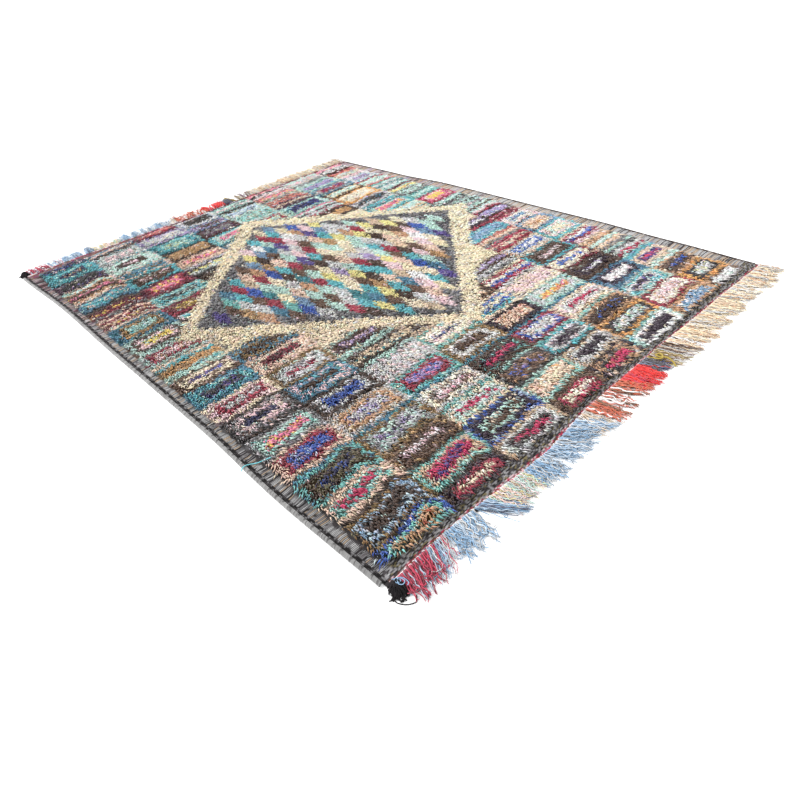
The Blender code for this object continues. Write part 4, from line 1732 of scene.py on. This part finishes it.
@dataclass
class Fringe:
    """The warp ends at both ends of the rug, in bundles of many colours.

    The far ones are drawn with fewer, thicker and straighter yarns. Pairs hold a low and a high
    limit, and spreads are those of a normal draw.
    """

    outline: RugOutline
    points: int = 11
    sides: int = 3
    far_share: float = 0.62
    far_lean: float = 0.35
    far_bulk: float = 1.7
    shortest: float = 0.84
    yarn_reach: Pair = (0.84, 1.06)
    strand_shift: float = 0.12
    strand_slope: float = 0.10
    yarn_slope: float = 0.05
    loose_slope: float = 0.30
    loose_share: float = 0.18
    loose_gather: float = 0.1
    root_inset: float = 0.0015
    side_margin: float = 0.006
    waves: Pair = (1.6, 3.6)
    forth_share: float = 0.7
    hook_share: float = 0.40
    hook_size: float = 0.075
    hook_start: float = 0.62
    hook_turn: Pair = (0.7, 1.5)
    bend: float = 1.15
    bulk: float = 0.0085
    drop_share: float = 0.25
    root_height: float = 0.0042
    wave_height: float = 0.0011
    taper: float = 0.30
    radius_limits: Pair = (0.8, 1.25)
    tint_spread: Pair = (-0.12, 0.15)
    twist_shade: float = 0.16
    seed: int = 91

    def build(self, bundle: Bundle, end: End) -> Piece:
        """Builds one colour of the fringe at one end.

        Formula in words: each yarn leaves the cloth's edge, falls to the floor in the first
        quarter of its way, slopes aside and curls as sine waves that grow from its root. The
        yarns of a strand draw together over a quarter sine wave, and a few stay loose. Many
        turn back in an arc over the last part of their way.

        Args:
            bundle: The colour's place and yarns.
            end: Which end of the rug.

        Returns:
            The piece.
        """
        rng = np.random.default_rng(self.seed + round(1000 * bundle.start) % 997 + 7 * end.value)
        near = end is End.NEAR
        width = bundle.end - bundle.start
        count = int(width * 100 * bundle.density * (1 if near else self.far_share))
        each = (count, 1)
        place = (np.arange(count) + rng.uniform(0, 1, count)) / count
        strand = np.minimum((place * bundle.clumps).astype(int), bundle.clumps - 1)
        shift = rng.normal(0, self.strand_shift, bundle.clumps)[strand]
        drawn = (strand + 0.5 + shift) / bundle.clumps
        loose = rng.uniform(0, 1, count) < self.loose_share
        way = np.linspace(0, 1, self.points)[None]
        slope = np.interp(place, (0, 1), bundle.lean) * (1 if near else self.far_lean)
        slope = slope + rng.normal(0, self.strand_slope, bundle.clumps)[strand]
        slope = slope + rng.normal(0, self.yarn_slope, count)
        slope = (slope + loose * rng.normal(0, self.loose_slope, count))[:, None]
        root_x = (bundle.start + width * place)[:, None]
        root_y = self.outline.cloth_end(root_x, end) - end.value * self.root_inset
        reach = bundle.reach * rng.uniform(self.shortest, 1.0, bundle.clumps)[strand]
        reach = reach * rng.uniform(*self.yarn_reach, count)
        length = (self.outline.fringe_tip - np.abs(root_y)) * reach[:, None]
        start, lift, other = rng.uniform(0, FULL_TURN, (3, *each))
        waved = FULL_TURN * rng.uniform(*self.waves, each) * way
        grown = np.minimum(way * 4, 1)
        aside = bundle.crinkle * np.sin(waved + start) * grown
        forth = self.forth_share * bundle.crinkle * np.sin(waved * 1.2 + other) * grown
        gather = np.where(loose, self.loose_gather, bundle.gather)[:, None] * np.sin(np.pi * way / 2)
        hooked = rng.uniform(0, 1, each) < self.hook_share
        late = np.clip((way - self.hook_start) / (1 - self.hook_start), 0, 1)
        turn = hooked * late * rng.uniform(*self.hook_turn, each) * np.pi
        arc = self.hook_size * length
        side = np.where(rng.uniform(0, 1, each) < 0.5, -1, 1)
        aside = aside + side * arc * (1 - np.cos(turn))
        onward = np.where(hooked, np.minimum(way, self.hook_start), way) * length
        onward = onward + arc * np.sin(turn)
        x = root_x + width * (drawn - place)[:, None] * gather + slope * length * way**self.bend
        x = np.maximum(x + aside, self.outline.strip_end[0] - self.side_margin)
        y = root_y + end.value * onward / np.sqrt(1 + 0.6 * slope**2) + forth
        bulk = self.bulk * (1.0 if near else self.far_bulk)
        rest = rng.uniform(0, 1, each) ** 1.4 * bulk * (1 - 0.45 * way)
        fall = np.clip(1 - way / self.drop_share, 0, 1) ** 2
        z = bundle.thickness + rest * (1 - 0.6 * fall) + self.root_height * fall
        z = z + self.wave_height * (1 + np.sin(waved * 1.3 + lift)) * grown
        radii = bundle.thickness * (1 - self.taper * way**3)
        radii = radii * rng.uniform(*self.radius_limits, each)
        rings = tubes_along(np.stack([x, y, z], axis=-1), radii, self.sides)
        tint = draw_rows(mixture_colours(bundle.mixture), count, rng)
        tint = tint * np.exp(rng.normal(*self.tint_spread, each))
        # Painted shade and light: the yarn is lighter and darker in turn along its way, for its twist
        twist_shade = 1 + self.twist_shade * np.cos(np.pi * np.arange(self.points))
        colours = tint[:, None, None] * twist_shade[:, None, None] * np.ones((self.points, self.sides, 3))
        name = f"fringe_{end.name.lower()}_{bundle.name}"
        piece = loft(f"{name}_yarns", rings, colours)
        return dress(piece, WARP_FINISH, bundle.slot, name)


@dataclass
class CornerTassel:
    """A black wool tassel at a corner of the corded side.

    Pairs hold a low and a high limit, and spreads are those of a normal draw.
    """

    outline: RugOutline
    middle_x: float = -0.866
    out: float = 0.0150
    radius: float = 0.0195
    height: float = 0.0225
    points: int = 11
    sides: int = 5
    loops: int = 60
    loop_size: Pair = (0.62, 0.98)
    loop_height: Pair = (0.6, 0.92)
    loop_shift: float = 0.0035
    strands: int = 40
    strand_length: float = 0.013
    strand_share: Pair = (0.35, 1.0)
    strand_fan: Pair = (-0.80, 0.62)
    strand_rise: Pair = (0.1, 0.7)
    strand_bend: float = 0.35
    thickness: float = 0.0014
    thickness_limits: Pair = (0.8, 1.3)
    shade_spread: float = 0.35
    seed: int = 101

    @property
    def lowest(self) -> float:
        """The height of the lowest yarn's middle, so that the thickest yarn clears the floor."""
        return self.thickness_limits[1] * self.thickness

    def centre(self, end: End) -> Array:
        """The middle of the tassel's foot."""
        edge = float(self.outline.cloth_end(np.array(self.middle_x), end))
        return np.array([self.middle_x, edge + end.value * self.out, 0.0])

    def head(self, end: End, rng: np.random.Generator) -> Array:
        """Yarns wound over the head.

        Formula in words: each is half an oval from the floor over the head to the floor, turned
        by its own angle about the upright and shifted a little sideways.
        """
        each = (self.loops, 1)
        way = np.linspace(0.02, 0.98, self.points)
        turn = rng.uniform(0, np.pi, each)
        size = self.radius * rng.uniform(*self.loop_size, each)
        off = rng.normal(0, self.loop_shift, each)
        flat = -np.cos(np.pi * way) * size
        x = flat * np.cos(turn) - off * np.sin(turn)
        y = flat * np.sin(turn) + off * np.cos(turn)
        z = self.lowest + np.sin(np.pi * way) * self.height * rng.uniform(*self.loop_height, each)
        return np.stack([x, y, z], axis=-1) + self.centre(end)

    def tail(self, end: End, rng: np.random.Generator) -> Array:
        """Short yarn ends that lie on the floor round the outer half of the head.

        Formula in words: each runs out from inside the head in its own direction, bends aside
        with the square of the way, and sinks to the floor by a power of the way left.
        """
        each = (self.strands, 1)
        way = np.linspace(0, 1, self.points)
        turn = (rng.uniform(*self.strand_fan, each) + end.value) * np.pi / 2
        long = self.strand_length * rng.uniform(*self.strand_share, each)
        out = self.radius * 0.45 + (long + self.radius * 0.5) * way
        bend = turn + rng.normal(0, self.strand_bend, each) * way**2
        z = self.lowest + rng.uniform(*self.strand_rise, each) * self.height * (1 - way) ** 1.5
        return np.stack([out * np.cos(bend), out * np.sin(bend), z], axis=-1) + self.centre(end)

    def build(self, end: End) -> Piece:
        """Builds the tassel at one end.

        Args:
            end: Which end of the rug.

        Returns:
            The piece.
        """
        rng = np.random.default_rng(self.seed + end.value)
        paths = np.concatenate([self.head(end, rng), self.tail(end, rng)])
        radii = np.full(paths.shape[:2], self.thickness)
        radii = radii * rng.uniform(*self.thickness_limits, (len(paths), 1))
        rings = tubes_along(paths, radii, self.sides)
        shade = np.exp(rng.normal(0, self.shade_spread, (len(paths), 1, 1, 1)))
        colours = Yarn.BLACK.linear * 0.8 * shade * np.ones(rings.shape)
        node = f"corner_tassel_{end.name.lower()}"
        return dress(loft(f"{node}_yarns", rings, colours), BLACK_FINISH, "black_wool", node)


@dataclass(frozen=True)
class LooseYarn:
    """A single yarn that lies loose, as points along its way."""

    name: str
    slot: str
    yarn: Yarn
    radius: float
    points: tuple[Point, ...]
    steps: int = 8
    sides: int = 6
    twist_shade: float = 0.12

    def build(self) -> Piece:
        """Builds the yarn.

        Formula in words: the points are joined by the smooth curve that passes through each of
        them, sampled evenly, and a round profile is carried along it.
        """
        given = np.array(self.points)
        padded = np.concatenate([given[:1], given, given[-1:]])
        way = np.linspace(0, 1, self.steps, endpoint=False)[:, None]
        a, b, c, d = (padded[k : len(given) - 1 + k, None] for k in range(4))
        square = (2 * a - 5 * b + 4 * c - d) * way**2
        cube = (3 * b - a - 3 * c + d) * way**3
        curve = 0.5 * (2 * b + (c - a) * way + square + cube)
        path = np.concatenate([curve.reshape(-1, 3), given[-1:]])[None]
        rings = tubes_along(path, np.full(path.shape[:2], self.radius), self.sides)
        # Painted shade and light: the yarn is lighter and darker in turn along its way, for its twist
        twist_shade = 1 + self.twist_shade * np.cos(np.pi * np.arange(path.shape[1]))
        colours = self.yarn.linear * twist_shade[None, :, None, None] * np.ones(rings.shape)
        finish = BLACK_FINISH if self.yarn is Yarn.BLACK else WARP_FINISH
        return dress(loft(self.name, rings, colours), finish, self.slot)


# Yarns that lie loose over the cord, the near corner and the fringe
LOOSE_YARNS = (
    LooseYarn(
        "teal_loose_yarn", "rag_pile", Yarn.TURQUOISE, 0.0014,
        (
            (-0.896, -0.603, 0.0090), (-0.885, -0.598, 0.0135), (-0.868, -0.596, 0.0080),
            (-0.853, -0.606, 0.0075), (-0.840, -0.615, 0.0120), (-0.822, -0.628, 0.0190),
        ),
    ),
    LooseYarn(
        "black_loose_loop", "black_wool", Yarn.BLACK, 0.0012,
        (
            (-0.8800, -1.1180, 0.0060), (-0.8870, -1.1390, 0.0020), (-0.8840, -1.1500, 0.0016),
            (-0.8745, -1.1620, 0.0016), (-0.8597, -1.1690, 0.0016), (-0.8500, -1.1600, 0.0030),
        ),
    ),
    LooseYarn(
        "blue_loose_loops", "light_blue_warp", Yarn.SKY, 0.0010,
        (
            (-0.8600, -1.1010, 0.0080), (-0.8530, -1.1120, 0.0150), (-0.8560, -1.1240, 0.0205),
            (-0.8650, -1.1220, 0.0215), (-0.8600, -1.1100, 0.0180), (-0.8510, -1.1170, 0.0185),
            (-0.8500, -1.1290, 0.0195), (-0.8590, -1.1330, 0.0215), (-0.8640, -1.1260, 0.0225),
            (-0.8550, -1.1150, 0.0205), (-0.8460, -1.1210, 0.0175), (-0.8450, -1.1340, 0.0150),
            (-0.8520, -1.1390, 0.0180),
        ),
    ),
    LooseYarn(
        "mustard_loose_loop", "mustard_warp", Yarn.MUSTARD, 0.0024,
        (
            (0.1430, -1.1080, 0.0060), (0.1350, -1.1200, 0.0110), (0.1430, -1.1330, 0.0130),
            (0.1560, -1.1280, 0.0140), (0.1580, -1.1160, 0.0130), (0.1480, -1.1130, 0.0120),
            (0.1460, -1.1250, 0.0130), (0.1560, -1.1430, 0.0120), (0.1540, -1.1600, 0.0080),
            (0.1460, -1.1740, 0.0030),
        ),
    ),
)


@dataclass(frozen=True)
class Lamp:
    """A square soft light that faces the middle of the rug."""

    name: str
    place: Point
    size: float
    power: float

    def build(self) -> None:
        """Adds the light."""
        data = bpy.data.lights.new(self.name, "AREA")
        data.energy = self.power
        data.size = self.size
        lamp = new_object(self.name, data)
        lamp.location = self.place
        lamp.rotation_euler = Vector(self.place).to_track_quat("Z", "Y").to_euler()


@dataclass(frozen=True)
class Studio:
    """The pale floor, the soft light and the camera.

    place is the camera's, view the way it looks, and upward the way its top points.
    """

    place: Point = (-1.297, -1.7075, 1.027)
    view: Point = (0.50898, 0.60543, -0.61187)
    upward: Point = (0.47663, 0.39368, 0.78602)
    lens: float = 27.67
    sensor: float = 36.0
    farthest: float = 200.0
    floor_size: float = 40.0
    floor_light: float = 0.92
    floor_roughness: float = 0.9
    sky_strength: float = 1.16
    lamps: tuple[Lamp, ...] = (
        Lamp("key_light", (-2.6, 2.0, 3.4), 2.0, 235.0),
        Lamp("fill_light", (2.6, -2.8, 3.2), 3.0, 60.0),
    )

    def floor(self) -> None:
        """Makes the floor and stages it."""
        half = self.floor_size / 2
        mesh = bpy.data.meshes.new("floor")
        corners = [(-half, -half, 0), (half, -half, 0), (half, half, 0), (-half, half, 0)]
        mesh.from_pydata(corners, [], [(0, 1, 2, 3)])
        floor = new_object("floor", mesh)
        pale = bpy.data.materials.new("pale_floor")
        pale.use_nodes = True
        shader = pale.node_tree.nodes["Principled BSDF"]
        shader.inputs["Base Color"].default_value = (*(self.floor_light,) * 3, 1.0)
        shader.inputs["Roughness"].default_value = self.floor_roughness
        shader.inputs["Specular IOR Level"].default_value = 0.0
        mesh.materials.append(pale)

    def sky(self) -> None:
        """Makes the white light from all round."""
        world = bpy.data.worlds.new("studio")
        bpy.context.scene.world = world
        world.use_nodes = True
        background = world.node_tree.nodes["Background"]
        background.inputs["Color"].default_value = (1.0, 1.0, 1.0, 1.0)
        background.inputs["Strength"].default_value = self.sky_strength

    def camera(self) -> None:
        """Places the camera where the photograph was taken."""
        data = bpy.data.cameras.new("camera")
        data.lens = self.lens
        data.sensor_width = self.sensor
        data.clip_end = self.farthest
        view, upward = Vector(self.view).normalized(), Vector(self.upward).normalized()
        right = view.cross(upward)
        camera = new_object("camera", data)
        turn = Matrix((right, right.cross(view), -view)).transposed().to_4x4()
        camera.matrix_world = Matrix.Translation(self.place) @ turn
        bpy.context.scene.camera = camera

    def build(self) -> None:
        """Makes the floor, the lights and the camera."""
        self.floor()
        self.sky()
        for lamp in self.lamps:
            lamp.build()
        self.camera()
        bpy.context.scene.view_settings.view_transform = "Standard"


def main() -> None:
    """Builds the rug piece by piece around the frame."""
    logging.basicConfig(level=logging.INFO, format="%(message)s")
    Studio().build()
    outline = RugOutline()
    pattern = PilePattern(outline)
    ground = GroundWeave(outline, pattern)
    cloth = ground.cloth()
    carried = TuftField(outline, pattern, PileRelief(pattern)).build()
    carried.append(ground.side_strip("corded_side_weave", True))
    carried.append(ground.side_strip("plain_side_weave", False))
    sides = SideFinish(outline).build()
    carried += sides[1:]
    tassel = CornerTassel(outline)
    for end in End:
        carried.append(ground.end_band(end))
        carried.append(TwinedChain(outline).build(end))
        for bundle in FRINGE:
            Fringe(outline).build(bundle, end)
        tassel.build(end)
    for yarn in LOOSE_YARNS:
        yarn.build()
    meshes = [o.data for o in bpy.data.objects if o.type == "MESH"]
    LOG.info("triangles in all: %d", sum(len(m.loops) - 2 * len(m.polygons) for m in meshes))


if __name__ == "__main__":
    main()
